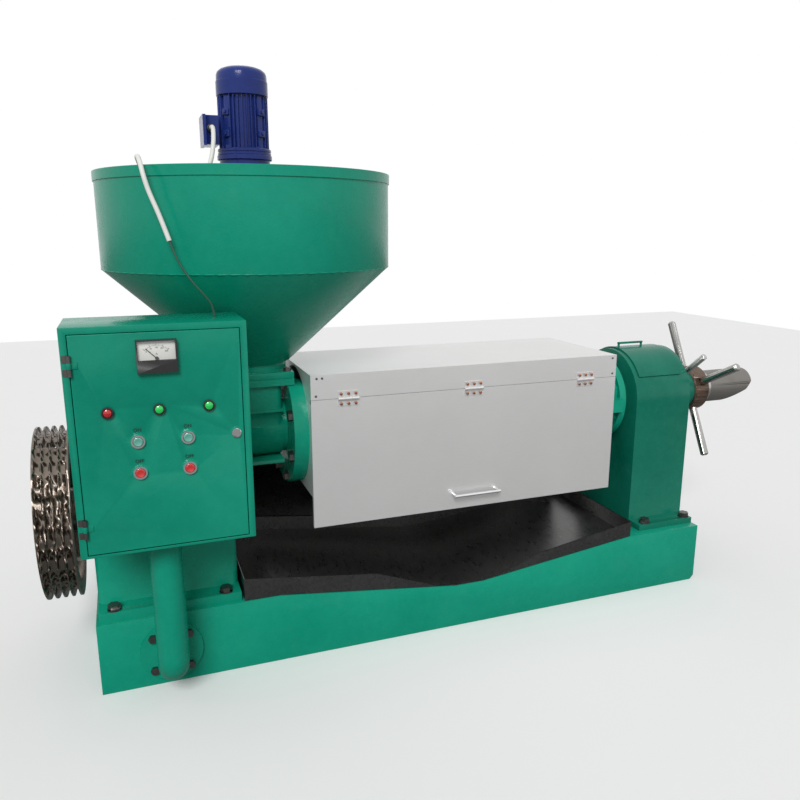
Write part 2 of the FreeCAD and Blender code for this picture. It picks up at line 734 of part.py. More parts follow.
def main_gear():
    """The slow gear, lightened by recesses on both sides of its web."""
    low = s.slow_offset
    high = low + s.slow_face
    rim = slow_gear_pitch - 3.2 * s.slow_module
    hub = s.shaft_radius + 22
    recess = s.slow_face / 3
    disc = toothed_disc(s.slow_module, s.slow_gear_teeth, low, high,
                        mid_y, mid_rise - axis_drop, False)
    item = without(disc, cylinder("X", s.shaft_radius, low, high),
                   pipe("X", rim, hub, low, low + recess),
                   pipe("X", rim, hub, high - recess, high))
    place(item, gearbox_left, 0, s.shaft_height)
    finished("main_gear", item)


def pulley():
    """The grooved belt pulley, with round holes through its web."""
    width = s.pulley_width
    rim_inner = s.pulley_radius - s.pulley_rim
    web_left = (width - s.pulley_web) / 2
    web_right = (width + s.pulley_web) / 2
    grooves = []
    for place_along in (1.5, 0.5, -0.5, -1.5):
        middle = width / 2 + s.groove_pitch * place_along
        floor = s.pulley_radius - s.groove_depth
        grooves += [(middle + s.groove_top / 2, s.pulley_radius),
                    (middle + s.groove_floor / 2, floor),
                    (middle - s.groove_floor / 2, floor),
                    (middle - s.groove_top / 2, s.pulley_radius)]
    profile = [(size(0), s.input_shaft_radius), (width, s.input_shaft_radius),
               (width, s.pulley_hub_radius), (web_right, s.pulley_hub_radius),
               (web_right, rim_inner), (width, rim_inner), (width, s.pulley_radius)]
    profile += grooves
    profile += [(size(0), s.pulley_radius), (size(0), rim_inner), (web_left, rim_inner),
                (web_left, s.pulley_hub_radius), (size(0), s.pulley_hub_radius)]
    body = new_body(x=gearbox_left - s.pulley_gap - width, z=s.pulley_axis_height)
    turned(body, "X", profile)
    hole = hollow(body, "YZ", web_left, web_right,
                  (size(0), s.pulley_hole_circle, s.pulley_hole_radius))
    repeated_round(body, hole, "X", 6)
    finished("pulley", body)


# ---------------------------------------------------------------- worm shaft

def main_shaft():
    """The worm shaft: a stepped body for the gear and worms, and a slimmer screwed-in tail."""
    seat_start = s.gearbox_length + s.cap_thickness
    tail_start = s.housing_left + s.sleeve_inset - s.worm_end_gap - gearbox_left
    tail_end = s.shaft_tail - gearbox_left
    body = new_body(x=gearbox_left, z=s.shaft_height)
    turned(body, "X", [
        (s.cap_gap, 0), (tail_start, 0), (tail_start, s.worm_seat_radius),
        (seat_start, s.worm_seat_radius), (seat_start, s.shaft_radius),
        (s.cap_gap, s.shaft_radius)])
    tail = new_body(x=gearbox_left, z=s.shaft_height)
    turned(tail, "X", [
        (tail_start, 0), (tail_end, 0), (tail_end, s.tail_radius - 4),
        (tail_end - 8, s.tail_radius), (tail_start, s.tail_radius)])
    finished("main_shaft", together(body, tail))


WORMS = 8


def press_worm(index, start, length):
    """One worm: a sleeve on the shaft with a flight and, after it, a raised collar."""
    core = s.worm_core_radius + s.worm_core_growth * index
    pitch = s.worm_pitch - s.worm_pitch_step * index
    collar = core + s.worm_collar_rise
    lead = (length - pitch - s.flight_root) / 2
    body = new_body(x=start, z=s.shaft_height)
    turned(body, "X", [
        (size(0), s.worm_seat_radius), (length, s.worm_seat_radius), (length, core + 1),
        (length - 4, collar), (length - 8, core), (size(0), core)])
    slope = (s.flight_root - s.flight_tip) / 2
    sketch = new_sketch(body, "XZ")
    buried = core - 3
    draw(sketch, [[(lead, buried), (lead + s.flight_root, buried),
                   (lead + slope + s.flight_tip, s.worm_radius),
                   (lead + slope, s.worm_radius)]])
    flight = body.newObject("PartDesign::AdditiveHelix", "flight")
    flight.Profile = sketch
    flight.ReferenceAxis = (sketch, ["H_Axis"])
    flight.Mode = "pitch-height-angle"
    bind(flight, Pitch=pitch, Height=pitch * 0.94)
    return body


def press_worms():
    """Eight worms in a row, their flights closing up and their cores thickening."""
    first = feed_left + s.throat_inset + s.cap_gap
    last = s.housing_left + s.sleeve_inset - s.worm_end_gap
    length = (last - first) / WORMS
    worms = [press_worm(index, first + length * index, length) for index in range(WORMS)]
    finished("press_worms", together(*worms))


# ---------------------------------------------------------------- feed body and hopper

def feed_body():
    """The casting under the hopper: a barrel round the first worm and a throat above it."""
    body = new_body(x=feed_left, z=s.shaft_height)
    end = s.feed_end - feed_left
    nose = nose_end - feed_left
    side = s.throat_half_width
    plate_half = s.plate_size / 2
    throat_top = feed_plate_foot - s.shaft_height
    ridge = s.ridge_height - s.shaft_height
    hopper = s.hopper_x - feed_left
    slab(body, "XY", size(0), throat_top, rectangle(s.throat_inset, end, -side, side))
    rounded(body, s.throat_corner, lambda edge: runs_along(edge, Vector(0, 0, 1)))
    slab(body, "YZ", size(0), end, (size(0), size(0), s.feed_barrel_radius))
    slab(body, "YZ", size(0), s.feed_flange, (size(0), size(0), s.feed_flange_radius))
    slab(body, "YZ", end, nose, (size(0), size(0), s.feed_nose_radius))
    slab(body, "XY", ridge, ridge + s.ridge_thickness,
         rectangle(s.feed_flange, end, -side - s.ridge_reach, side + s.ridge_reach))
    slab(body, "XY", -s.feed_foot_drop, s.feed_foot_thickness - s.feed_foot_drop,
         rectangle(s.feed_flange, end, -side, side))
    slab(body, "XY", throat_top, throat_top + s.plate_thickness,
         rectangle(hopper - plate_half, hopper + plate_half, -plate_half, plate_half))
    hollow(body, "YZ", size(0), s.throat_inset, (size(0), size(0), s.shaft_radius + s.round_gap))
    hollow(body, "YZ", s.throat_inset, nose, (size(0), size(0), s.feed_bore_radius))
    opening = s.throat_opening / 2
    hollow(body, "XY", size(0), throat_top + s.plate_thickness,
           rectangle(hopper - opening, hopper + opening, -opening, opening))
    finished("feed_body", body)


def hopper():
    """A round hopper of welded sheet: square foot plate and neck, cone, drum and rim hoop."""
    plate_half = s.plate_size / 2
    wall = s.hopper_wall
    neck = s.neck_top - s.plate_seam
    foot = s.cone_foot - s.plate_seam
    drum = s.cone_top - s.plate_seam
    top = s.hopper_top - s.plate_seam
    hoop = top - s.hoop_height
    slope = (s.hopper_radius - s.cone_foot_radius) / (drum - foot - wall / 2)
    seam_bore = s.hopper_radius - wall - slope * wall / 2

    outlet = new_body(x=s.hopper_x, z=s.plate_seam)
    slab(outlet, "XY", size(0), s.plate_thickness,
         rectangle(-plate_half, plate_half, -plate_half, plate_half))
    turned(outlet, "Z", [
        (s.plate_thickness, s.outlet_radius), (s.plate_thickness, s.neck_radius),
        (neck, s.neck_radius), (neck, s.neck_radius - wall),
        (s.plate_thickness + wall, s.neck_radius - wall),
        (s.plate_thickness + wall, s.outlet_radius)])
    hollow(outlet, "XY", size(0), s.plate_thickness, (size(0), size(0), s.outlet_radius))

    cone = new_body(x=s.hopper_x, z=s.plate_seam)
    turned(cone, "Z", [
        (neck, s.neck_radius - wall), (neck, s.neck_radius), (foot, s.cone_foot_radius),
        (drum, s.hopper_radius), (drum, seam_bore), (foot + wall, s.cone_foot_radius - wall),
        (neck + wall, s.neck_radius - wall)])

    shell = new_body(x=s.hopper_x, z=s.plate_seam)
    turned(shell, "Z", [
        (drum, seam_bore), (drum, s.hopper_radius), (hoop, s.hopper_radius),
        (hoop, s.hopper_radius + s.hoop_step), (top, s.hopper_radius + s.hoop_step),
        (top, s.hopper_radius - wall), (drum + wall / 2, s.hopper_radius - wall)])
    finished("hopper", together(outlet, cone, shell))


def motor_beam():
    """A channel across the hopper's mouth, its ends cut to the drum's curve."""
    reach = s.hopper_radius
    low = beam_top - s.beam_height
    half = s.beam_width / 2
    x = (s.hopper_x - reach, s.hopper_x + reach)
    channel = without(block(x, (-half, half), (low, beam_top)),
                      block(x, (s.beam_wall - half, half - s.beam_wall),
                            (low, beam_top - s.beam_wall)),
                      cylinder("Z", s.beam_hole_radius, low, beam_top, (s.hopper_x, 0)))
    drum = cylinder("Z", s.hopper_radius - s.hopper_wall, low, beam_top, (s.hopper_x, 0))
    finished("motor_beam", shared(channel, drum))


def stirrer_gearbox():
    """The reducer under the motor; the stirrer's shaft turns in its socket."""
    flange = beam_top + s.reducer_flange
    parts = fused(cylinder("Z", s.reducer_flange_radius, beam_top, flange, (s.hopper_x, 0)),
                  cylinder("Z", s.reducer_radius, flange, s.motor_foot, (s.hopper_x, 0)))
    socket = cylinder("Z", s.stirrer_radius + s.running_gap, beam_top,
                      beam_top + s.reducer_socket, (s.hopper_x, 0))
    finished("stirrer_gearbox", without(parts, socket))


def stirrer_motor():
    """The finned motor housing with its lower flange and the terminal box's pad."""
    body = new_body(x=s.hopper_x, z=s.motor_foot)
    top = s.motor_flange + s.motor_core_length
    slab(body, "XY", size(0), s.motor_flange, (size(0), size(0), s.motor_flange_radius))
    slab(body, "XY", s.motor_flange, top, (size(0), size(0), s.motor_core_radius))
    half = s.fin_thickness / 2
    fin = slab(body, "XY", s.motor_flange, top - 2,
               rectangle(-half, half, s.motor_core_radius - 2, s.fin_radius))
    repeated_round(body, fin, "Z", s.motor_fins)
    pad = s.box_width / 3
    low = s.box_foot - s.motor_foot + 8
    slab(body, "XY", low, low + s.box_height - 16,
         rectangle(s.box_depth - s.box_reach, size(-50), -pad, pad))
    finished("stirrer_motor", body)


def fan_cowl():
    body = new_body(x=s.hopper_x, z=s.motor_foot + s.motor_flange + s.motor_core_length)
    height = s.cowl_height
    turned(body, "Z", [
        (size(0), 0), (size(0), s.cowl_radius), (height - s.cowl_dome, s.cowl_radius),
        (height - s.cowl_dome * 0.35, s.cowl_radius * 0.93),
        (height - s.cowl_dome * 0.08, s.cowl_radius * 0.76), (height, s.cowl_radius * 0.5),
        (height, 0)])
    finished("fan_cowl", body)


def terminal_box():
    """The motor's wiring box with its screwed lid facing outward."""
    outside = s.hopper_x - s.box_reach
    lid = s.box_depth / 5
    half = s.box_width / 2
    top = s.box_foot + s.box_height
    case = block((outside + lid, outside + s.box_depth), (s.box_rim - half, half - s.box_rim),
                 (s.box_foot + s.box_rim, top - s.box_rim))
    cover = block((outside, outside + lid), (-half, half), (s.box_foot, top))
    finished("terminal_box", fused(case, cover))


def cable_gland():
    outside = s.box_rim - s.box_width / 2
    where = (s.gland_x, s.gland_height)
    nut = outside - s.gland_length / 2
    end = outside - s.gland_length
    finished("cable_gland", fused(hexagon("Y", s.gland_radius, nut, outside, where),
                                  cylinder("Y", s.gland_radius * 0.75, end, nut, where)))


def stirrer_shaft():
    """The upright shaft with crossed arms that sweep the cone."""
    centre = (s.hopper_x, 0)
    parts = [cylinder("Z", s.stirrer_radius, s.stirrer_foot, beam_top + s.reducer_socket - 2,
                      centre)]
    slope = (s.hopper_radius - s.cone_foot_radius) / (s.cone_top - s.cone_foot)
    for index in range(3):
        level = s.stirrer_foot + s.arm_step * (index + 0.5)
        wall = s.cone_foot_radius + slope * (level - s.cone_foot)
        reach = wall - s.arm_clearance
        arm = cylinder("X", s.arm_radius, -reach, reach)
        turned_arm = together(arm)
        place(turned_arm, s.hopper_x, 0, level, Vector(0, 0, 1), 30 + 60 * index)
        parts.append(turned_arm)
    finished("stirrer_shaft", fused(*parts))


# ---------------------------------------------------------------- pressing cage

def inlet_flange():
    """Two bolted rings, flattened on top where they pass the throat plates."""
    centre = (0, s.shaft_height)
    seam = nose_end
    rings = []
    flat = block((s.feed_end, cage_left + 1), (-s.flange_ring_radius, s.flange_ring_radius),
                 (feed_plate_foot - s.flange_flat_gap, s.shaft_height + s.flange_ring_radius + 1))
    for index, bore in enumerate((s.feed_bore_radius, s.bar_inner)):
        low = seam + s.flange_ring * index
        ring = pipe("X", s.flange_ring_radius, bore, low, low + s.flange_ring, centre)
        rings.append(without(ring, flat))
    finished("inlet_flange", together(*rings))


def cage_half(label, side):
    """Half of the split cage frame: ribs bored for the bars, joined by clamping strips."""
    body = new_body(x=cage_left, z=s.shaft_height)
    outside = s.cage_half_height
    corner = outside - s.cage_corner
    rib = [(-outside, size(0)), (outside, size(0)), (outside, side * corner),
           (corner, side * outside), (-corner, side * outside), (-outside, side * corner)]
    feature = slab(body, "YZ", size(0), s.cage_rib, rib)
    repeated_along(body, feature, "X", s.cage_length - s.cage_rib, s.cage_ribs)
    low, high = (size(0), s.clamp_thickness) if side > 0 else (-s.clamp_thickness, size(0))
    slab(body, "YZ", size(0), s.cage_length,
         rectangle(s.clamp_inner, s.clamp_reach, low, high),
         rectangle(-s.clamp_reach, -s.clamp_inner, low, high))
    hollow(body, "YZ", size(0), s.cage_length, (size(0), size(0), s.cage_bore_radius))
    finished(label, body)


def cage_bars():
    """The pressing bars: straight steel bars round the worms, with oil slots between."""
    bars = []
    half = s.bar_width / 2
    for index in range(SIZES["bar_count"]):
        bar = block((0, s.cage_length), (-half, half), (s.bar_inner, s.bar_outer))
        ring_place = together(bar)
        place(ring_place, cage_left, 0, s.shaft_height, Vector(1, 0, 0),
              360 / s.bar_count * (index + 0.5))
        bars.append(ring_place)
    finished("cage_bars", together(*bars))


def clamp_places():
    """Where the clamping bolts stand: midway between the ribs."""
    step = (s.cage_length - s.cage_rib) / (s.cage_ribs - 1)
    first = cage_left + s.cage_rib / 2 + step / 2
    return [first + step * index for index in range(0, SIZES["cage_ribs"] - 1, 2)]


def cage_bolts():
    bolts = []
    top = s.shaft_height + s.clamp_thickness
    foot = s.shaft_height - s.clamp_thickness
    for x in clamp_places():
        for side in (-1, 1):
            where = (x, side * s.clamp_bolt_side)
            bolts.append(hexagon("Z", s.bolt_head_radius, top, top + s.bolt_head, where))
            bolts.append(hexagon("Z", s.bolt_head_radius, foot - s.bolt_head, foot, where))
    finished("cage_bolts", together(*bolts))


def cage_end_flange():
    finished("cage_end_flange",
             pipe("X", s.end_ring_radius, s.bar_inner, cage_right, cage_right + s.end_ring,
                  (0, s.shaft_height)))


# ---------------------------------------------------------------- end housing and outlet

def end_housing():
    """The arched stand that carries the cage's end and the choke's threaded neck."""
    body = new_body(x=s.housing_left)
    length = s.housing_length
    wide = s.housing_half_width
    wall = s.housing_wall
    foot = s.rail_height
    arch = s.arch_height
    reach = wide + s.housing_foot_reach
    boss = cage_right + s.end_ring - s.housing_left
    slab(body, "YZ", size(0), length, rectangle(-wide, wide, foot, arch))
    slab(body, "YZ", size(0), length, (size(0), arch, wide))
    hollow(body, "YZ", wall, length - wall,
           rectangle(wall - wide, wide - wall, foot + s.housing_floor, arch))
    hollow(body, "YZ", wall, length - wall, (size(0), arch, wide - wall))
    crown = arch + root(wide * wide - s.lid_half_width * s.lid_half_width)
    hollow(body, "XY", crown, arch + wide + 1,
           rectangle(s.lid_inset, s.lid_inset + s.lid_length, -s.lid_half_width,
                     s.lid_half_width))
    slab(body, "YZ", size(0), length, rectangle(-reach, reach, foot, foot + s.housing_floor))
    slab(body, "YZ", boss, wall, (size(0), s.shaft_height, s.housing_boss_radius))
    hollow(body, "YZ", boss, wall, (size(0), s.shaft_height, s.bar_inner))
    neck_bore = (size(0), s.shaft_height, s.sleeve_radius + s.round_gap)
    hollow(body, "YZ", length - wall, length, neck_bore)
    holes = [(x, side * (reach - s.foot_bolt_edge), s.bolt_shank)
             for x in (s.foot_bolt_inset - 6, length - s.foot_bolt_inset + 20) for side in (-1, 1)]
    hollow(body, "XY", foot, foot + s.housing_floor, *holes)
    neck = new_body(x=s.housing_left)
    slab(neck, "YZ", length, length + s.neck_length,
         (size(0), s.shaft_height, s.neck_outer_radius))
    hollow(neck, "YZ", length, length + s.neck_length, neck_bore)
    finished("end_housing", together(body, neck))


def housing_lid():
    """The curved lift-off lid with a bail handle along its crown."""
    centre = (0, s.arch_height)
    inner = s.housing_half_width + s.lid_gap
    outer = inner + s.lid_thickness
    low = s.housing_left + s.lid_inset - 6
    high = s.housing_left + s.lid_inset + s.lid_length + 6
    crown = s.arch_height + root(inner * inner - s.lid_half_width * s.lid_half_width) - 4
    shell = shared(pipe("X", outer, inner, low, high, centre),
                   block((low, high), (-outer, outer), (crown, s.arch_height + outer)))
    top = s.arch_height + outer
    first = s.housing_left + s.lid_inset - 6
    bar_height = top + s.bail_height - s.bail_radius
    posts = [cylinder("Z", s.bail_radius, top - s.lid_thickness / 2, bar_height,
                      (first + place_along, 0))
             for place_along in (s.bail_radius * 4, s.bail_radius * 4 + s.bail_length)]
    bar = cylinder("X", s.bail_radius, first + s.bail_radius * 3,
                   first + s.bail_radius * 5 + s.bail_length, (0, bar_height))
    finished("housing_lid", fused(shell, *posts, bar))


def jam_ring():
    """The ring that locks the adjuster, turned by a short bar."""
    low = housing_right + s.jam_ring_gap
    ring = pipe("X", s.jam_ring_radius, s.neck_outer_radius + s.round_gap, low,
                low + s.jam_ring_width, (0, s.shaft_height))
    foot = s.neck_outer_radius + 8
    bar = cylinder("Z", s.jam_bar_radius, foot, s.jam_ring_radius + s.jam_bar_length)
    leaned = together(bar)
    place(leaned, low + s.jam_ring_width / 2, 0, s.shaft_height, Vector(1, 0, 0),
          s.jam_bar_angle)
    finished("jam_ring", fused(ring, leaned))


def capstan_hub():
    """The adjuster's nut, threaded on the choke sleeve, with four sockets for the rods."""
    body = new_body(x=hub_left, z=s.shaft_height, axis=Vector(1, 0, 0), angle=s.rod_angle)
    edge = s.hub_chamfer
    width = s.hub_width
    bore = s.sleeve_radius + s.running_gap
    turned(body, "X", [
        (size(0), bore), (width, bore), (width, s.hub_radius - edge),
        (width - edge, s.hub_radius), (edge, s.hub_radius), (size(0), s.hub_radius - edge)])
    socket = hollow(body, "XY", s.hub_radius - s.rod_depth, s.hub_radius + edge,
                    (width / 2, size(0), s.rod_radius))
    repeated_round(body, socket, "X", 4)
    finished("capstan_hub", body)


def capstan_rods():
    """Four round bars that the operator pulls to turn the adjuster."""
    rods = []
    for index in range(4):
        foot = s.hub_radius - s.rod_depth
        rod = new_body(x=hub_left + s.hub_width / 2, z=s.shaft_height, axis=Vector(1, 0, 0),
                       angle=s.rod_angle + 90 * index)
        turned(rod, "Z", [(foot, 0), (foot, s.rod_radius), (s.rod_reach - 5, s.rod_radius),
                          (s.rod_reach, s.rod_radius - 5), (s.rod_reach, 0)])
        rods.append(rod)
    finished("capstan_rods", together(*rods))


def choke_sleeve():
    """The sleeve that slides along the shaft's tail to narrow the cake's way out."""
    start = s.housing_left + s.sleeve_inset
    body = new_body(x=start, z=s.shaft_height)
    end = sleeve_end - start
    bore = s.sleeve_bore_radius
    turned(body, "X", [
        (size(0), bore + 8), (size(24), bore), (end, bore), (end, s.sleeve_radius),
        (size(0), s.sleeve_radius)])
    finished("choke_sleeve", body)


def discharge_hood():
    """A tube that throws the cake down: its lower side is cut short on a slant."""
    centre = (0, s.shaft_height)
    low = sleeve_end
    high = low + s.hood_length
    outer = s.sleeve_radius
    tube = pipe("X", outer, outer - s.hood_wall, low, high, centre)
    slope_run = s.hood_length - s.hood_short
    cutter = new_body(x=low, z=s.shaft_height)
    slab(cutter, "XZ", -outer - 1, outer + 1,
         [(s.hood_short, -outer - 1), (s.hood_length + 1, -outer - 1),
          (s.hood_length + 1, outer * 0.35), (s.hood_short + slope_run * 0.8, -outer * 0.2)])
    finished("discharge_hood", without(tube, cutter))


# ---------------------------------------------------------------- cover over the cage

def cover_shell():
    """The fixed sheet cover: roof, back, end sheets and the strip that carries the hinges."""
    sheet = s.cover_sheet
    body = new_body(x=s.cover_left)
    length = s.cover_length
    top = s.cover_top
    hinge = s.hinge_height
    back = cover_back
    slab(body, "XY", top - sheet, top, rectangle(size(0), length, cover_front, back))
    slab(body, "XZ", cover_front, cover_front + sheet, rectangle(size(0), length, hinge, top))
    slab(body, "XZ", back - sheet, back, rectangle(size(0), length, s.cover_back_foot, top))
    for x in (size(0), length - sheet):
        slab(body, "YZ", x, x + sheet,
             rectangle(cover_front, back, hinge, top),
             rectangle(cover_front + s.cover_fold, back, s.cover_back_foot, hinge))
        hollow(body, "YZ", x, x + sheet,
               (size(0), s.shaft_height, s.flange_ring_radius + s.face_gap))
    finished("cover_shell", body)


def cover_door():
    """The drop front of the cover with folded edges."""
    sheet = s.cover_sheet
    gap = s.door_gap
    length = s.cover_length
    high = s.hinge_height - gap
    low = s.door_foot
    fold = s.cover_fold - gap
    body = new_body(x=s.cover_left)
    slab(body, "XZ", cover_front, cover_front + sheet, rectangle(size(0), length, low, high))
    slab(body, "XY", low, low + sheet,
         rectangle(size(0), length, cover_front, cover_front + fold))
    for x in (size(0), length - sheet):
        slab(body, "YZ", x, x + sheet,
             rectangle(cover_front, cover_front + fold, low, high - s.cover_fold))
    finished("cover_door", body)


def hinge_starts():
    return [s.cover_left + s.hinge_first - s.hinge_length / 2 + s.hinge_pitch * index
            for index in range(3)]


hinge_axis_y = cover_front - s.knuckle_radius - s.round_gap


def hinge_leaves(label, upper):
    """Butt hinge halves: the upper has two knuckles and the pin, the lower one has one."""
    parts = []
    height = s.hinge_height - s.door_gap / 2
    third = s.hinge_length / 3
    gap = s.knuckle_gap
    for start in hinge_starts():
        end = start + s.hinge_length
        if upper:
            spans = [(start, start + third), (end - third, end)]
            leaf_z = (height + s.door_gap / 2, height + s.hinge_leaf)
        else:
            spans = [(start + third + gap, end - third - gap)]
            leaf_z = (height - s.hinge_leaf, height - s.door_gap / 2)
        leaf = block((start, end), (cover_front - s.hinge_leaf_sheet, cover_front), leaf_z)
        centre = (hinge_axis_y, height)
        relief = s.knuckle_radius + s.round_gap
        solids = [without(leaf, cylinder("X", relief, start - 1, end + 1, centre))]
        for low, high in spans:
            knuckle = cylinder("X", s.knuckle_radius, low, high, centre)
            tongue_z = (height, leaf_z[1]) if upper else (leaf_z[0], height)
            tongue = block((low, high), (cover_front - s.hinge_leaf_sheet, cover_front),
                           (tongue_z[0] if upper else height - s.knuckle_radius * 1.6,
                            height + s.knuckle_radius * 1.6 if upper else height))
            solids += [knuckle, tongue]
        half = fused(*solids)
        pin_hole = s.hinge_pin_radius if upper else s.hinge_pin_radius + s.running_gap
        half = without(half, cylinder("X", pin_hole, start - 1, end + 1, centre))
        parts.append(half)
        if upper:
            parts.append(cylinder("X", s.hinge_pin_radius, start, end, centre))
    finished(label, together(*parts))


def door_handle():
    """A bent round bar welded near the door's lower edge."""
    centre = s.cover_left + s.pull_centre
    half = s.pull_length / 2
    y = cover_front - s.pull_reach
    posts = [cylinder("Y", s.pull_radius, y, cover_front, (centre + side * half, s.pull_height))
             for side in (-1, 1)]
    bar = cylinder("X", s.pull_radius, centre - half - s.pull_radius,
                   centre + half + s.pull_radius, (y, s.pull_height))
    finished("door_handle", fused(bar, *posts))


# ---------------------------------------------------------------- control cabinet

panel_left = s.cabinet_left + s.panel_border
panel_right = cabinet_right - s.panel_border
panel_foot = s.cabinet_foot + s.panel_foot_border
panel_top = cabinet_top - s.panel_border
cabinet_hinge_x = panel_left - s.panel_gap / 2
cabinet_hinge_y = s.cabinet_front - s.cabinet_hinge_radius - 0.5


def cabinet_box():
    """The sheet-steel box: open in front where the door sits in its frame."""
    sheet = s.cabinet_sheet
    body = new_body(x=s.cabinet_left, z=s.cabinet_foot)
    width = s.cabinet_width
    height = s.cabinet_height
    slab(body, "XY", size(0), height, rectangle(size(0), width, s.cabinet_front, cabinet_back))
    hollow(body, "XY", sheet, height - sheet,
           rectangle(sheet, width - sheet, s.cabinet_front + sheet, cabinet_back - sheet))
    gap = s.panel_gap
    hollow(body, "XZ", s.cabinet_front, s.cabinet_front + sheet,
           rectangle(s.panel_border - gap, width - s.panel_border + gap,
                     s.panel_foot_border - gap, height - s.panel_border + gap))
    post = (s.post_x - s.cabinet_left, s.post_y, s.post_radius - s.post_wall)
    hollow(body, "XY", size(0), sheet, post)
    finished("cabinet_box", body)


def cabinet_knuckle_levels(moving):
    spans = []
    third = s.cabinet_hinge_length / 3
    for centre in (panel_foot + s.cabinet_hinge_inset, panel_top - s.cabinet_hinge_inset):
        low = centre - s.cabinet_hinge_length / 2
        high = centre + s.cabinet_hinge_length / 2
        if moving:
            spans.append((low + third + s.knuckle_gap, high - third - s.knuckle_gap))
        else:
            spans += [(low, low + third), (high - third, high)]
    return spans


def control_places():
    """Holes in the door: (x, height, radius) for each lamp and button."""
    lamps = [(s.lamp_first + s.control_pitch * index, s.lamp_height, s.lamp_radius)
             for index in range(3)]
    buttons = [(s.button_first + s.control_pitch * index, height, s.button_radius + 2)
               for height in (s.start_height, s.stop_height) for index in range(2)]
    return lamps + buttons


def door_knuckles():
    """The moving halves of the lift-off hinges, welded to the door's face."""
    parts = []
    where = (cabinet_hinge_x, cabinet_hinge_y)
    for low, high in cabinet_knuckle_levels(True):
        parts.append(cylinder("Z", s.cabinet_hinge_radius, low, high, where))
        parts.append(block((cabinet_hinge_x + s.knuckle_gap, cabinet_hinge_x + s.panel_border),
                           (s.cabinet_front - s.cabinet_sheet, s.cabinet_front), (low, high)))
    return parts


def cabinet_door():
    """The inset door: a folded panel with holes for its fittings and hinge knuckles."""
    body = new_body()
    sheet = s.cabinet_sheet
    front = s.cabinet_front
    slab(body, "XZ", front, front + s.panel_depth,
         rectangle(panel_left, panel_right, panel_foot, panel_top))
    rounded(body, sheet, lambda edge: edge.CenterOfMass.y < front.value + 0.1)
    hollow(body, "XZ", front + sheet, front + s.panel_depth,
           rectangle(panel_left + sheet, panel_right - sheet, panel_foot + sheet,
                     panel_top - sheet))
    hollow(body, "XZ", front, front + sheet, *control_places())
    hollow(body, "XZ", front, front + sheet, (s.lock_x, s.lock_height, s.lock_radius * 0.7))
    finished("cabinet_door", fused(body, *door_knuckles()))


def cabinet_hinges():
    """Lift-off hinges at the door's left edge: plates on the frame, knuckles and pins."""
    parts = []
    where = (cabinet_hinge_x, cabinet_hinge_y)
    for low, high in cabinet_knuckle_levels(False):
        knuckle = cylinder("Z", s.cabinet_hinge_radius, low, high, where)
        leaf = block((s.cabinet_left + s.cabinet_sheet, cabinet_hinge_x),
                     (s.cabinet_front - s.cabinet_sheet, s.cabinet_front), (low, high))
        parts.append(fused(knuckle, leaf))
    finished("cabinet_hinges", together(*parts))


def indicator_lamps():
    lamps = []
    for index in range(3):
        where = (s.lamp_first + s.control_pitch * index, s.lamp_height)
        body = new_body(x=where[0], y=s.cabinet_front, z=where[1], axis=Vector(1, 0, 0), angle=90)
        turned(body, "Z", [
            (-s.button_length, 0), (-s.button_length, s.lamp_radius - 1),
            (size(0), s.lamp_radius - 1), (size(0), s.lamp_bezel), (size(4), s.lamp_bezel - 1),
            (size(4), s.lamp_radius), (size(9), s.lamp_radius * 0.8), (size(11), 0)])
        lamps.append(body)
    finished("indicator_lamps", together(*lamps))


def push_button(label, column, height):
    body = new_body(x=s.button_first + s.control_pitch * column, y=s.cabinet_front, z=height,
                    axis=Vector(1, 0, 0), angle=90)
    top = s.button_stand + s.bezel_stand
    turned(body, "Z", [
        (-s.button_length, 0), (-s.button_length, s.button_radius),
        (top - 1, s.button_radius), (top, s.button_radius - 1.5), (top, 0)])
    finished(label, body)


def button_bezels():
    rings = []
    front = s.cabinet_front
    bore = s.button_radius + s.round_gap
    for height in (s.start_height, s.stop_height):
        for column in range(2):
            where = (s.button_first + s.control_pitch * column, height)
            collar = pipe("Y", s.bezel_radius, bore, front - s.bezel_stand, front, where)
            barrel = pipe("Y", s.button_radius + 1.8, bore, front, front + s.button_length, where)
            rings.append(fused(collar, barrel))
    finished("button_bezels", together(*rings))


def meter_span():
    half = s.meter_width / 2
    return (s.meter_centre - half, s.meter_centre + half)


def ammeter_case():
    """The square meter on the door, hollow behind its window, with a skirt below."""
    front = s.cabinet_front
    x = meter_span()
    wall = s.meter_wall
    z = (s.meter_foot, s.meter_foot + s.meter_height)
    case = block(x, (front - s.meter_stand, front), z)
    window = block((x[0] + wall, x[1] - wall), (front - s.meter_stand, front - s.meter_back),
                   (s.meter_foot + s.meter_skirt, z[1] - wall))
    finished("ammeter_case", without(case, window))


def ammeter_pointer():
    """The needle, turning on a small boss just above the meter's skirt."""
    back = s.cabinet_front - s.meter_back - s.lid_gap
    boss_z = s.meter_foot + s.meter_skirt + s.pointer_boss + s.lid_gap
    boss = cylinder("Y", s.pointer_boss, back - 3, back)
    needle = block((-0.8, 0.8), (back - 3, back - 1.5), (0, s.pointer_length))
    item = fused(boss, needle)
    place(item, s.meter_centre, 0, boss_z, Vector(0, 1, 0), -s.pointer_rest_angle)
    finished("ammeter_pointer", item)


def door_lock():
    """The cam lock, here open: a round face, a shank through the door and a hanging cam."""
    where = (s.lock_x, s.lock_height)
    front = s.cabinet_front
    inner = front + s.panel_depth + 3
    face = cylinder("Y", s.lock_radius, front - s.lock_stand, front - s.lid_gap, where)
    shank = cylinder("Y", s.lock_radius * 0.7 - s.running_gap, front - s.lid_gap, inner, where)
    half = s.lock_radius / 2
    cam = block((s.lock_x - half, s.lock_x + half), (inner - s.cabinet_sheet, inner),
                (s.lock_height - s.cam_length, s.lock_height + half))
    finished("door_lock", fused(face, shank, cam))


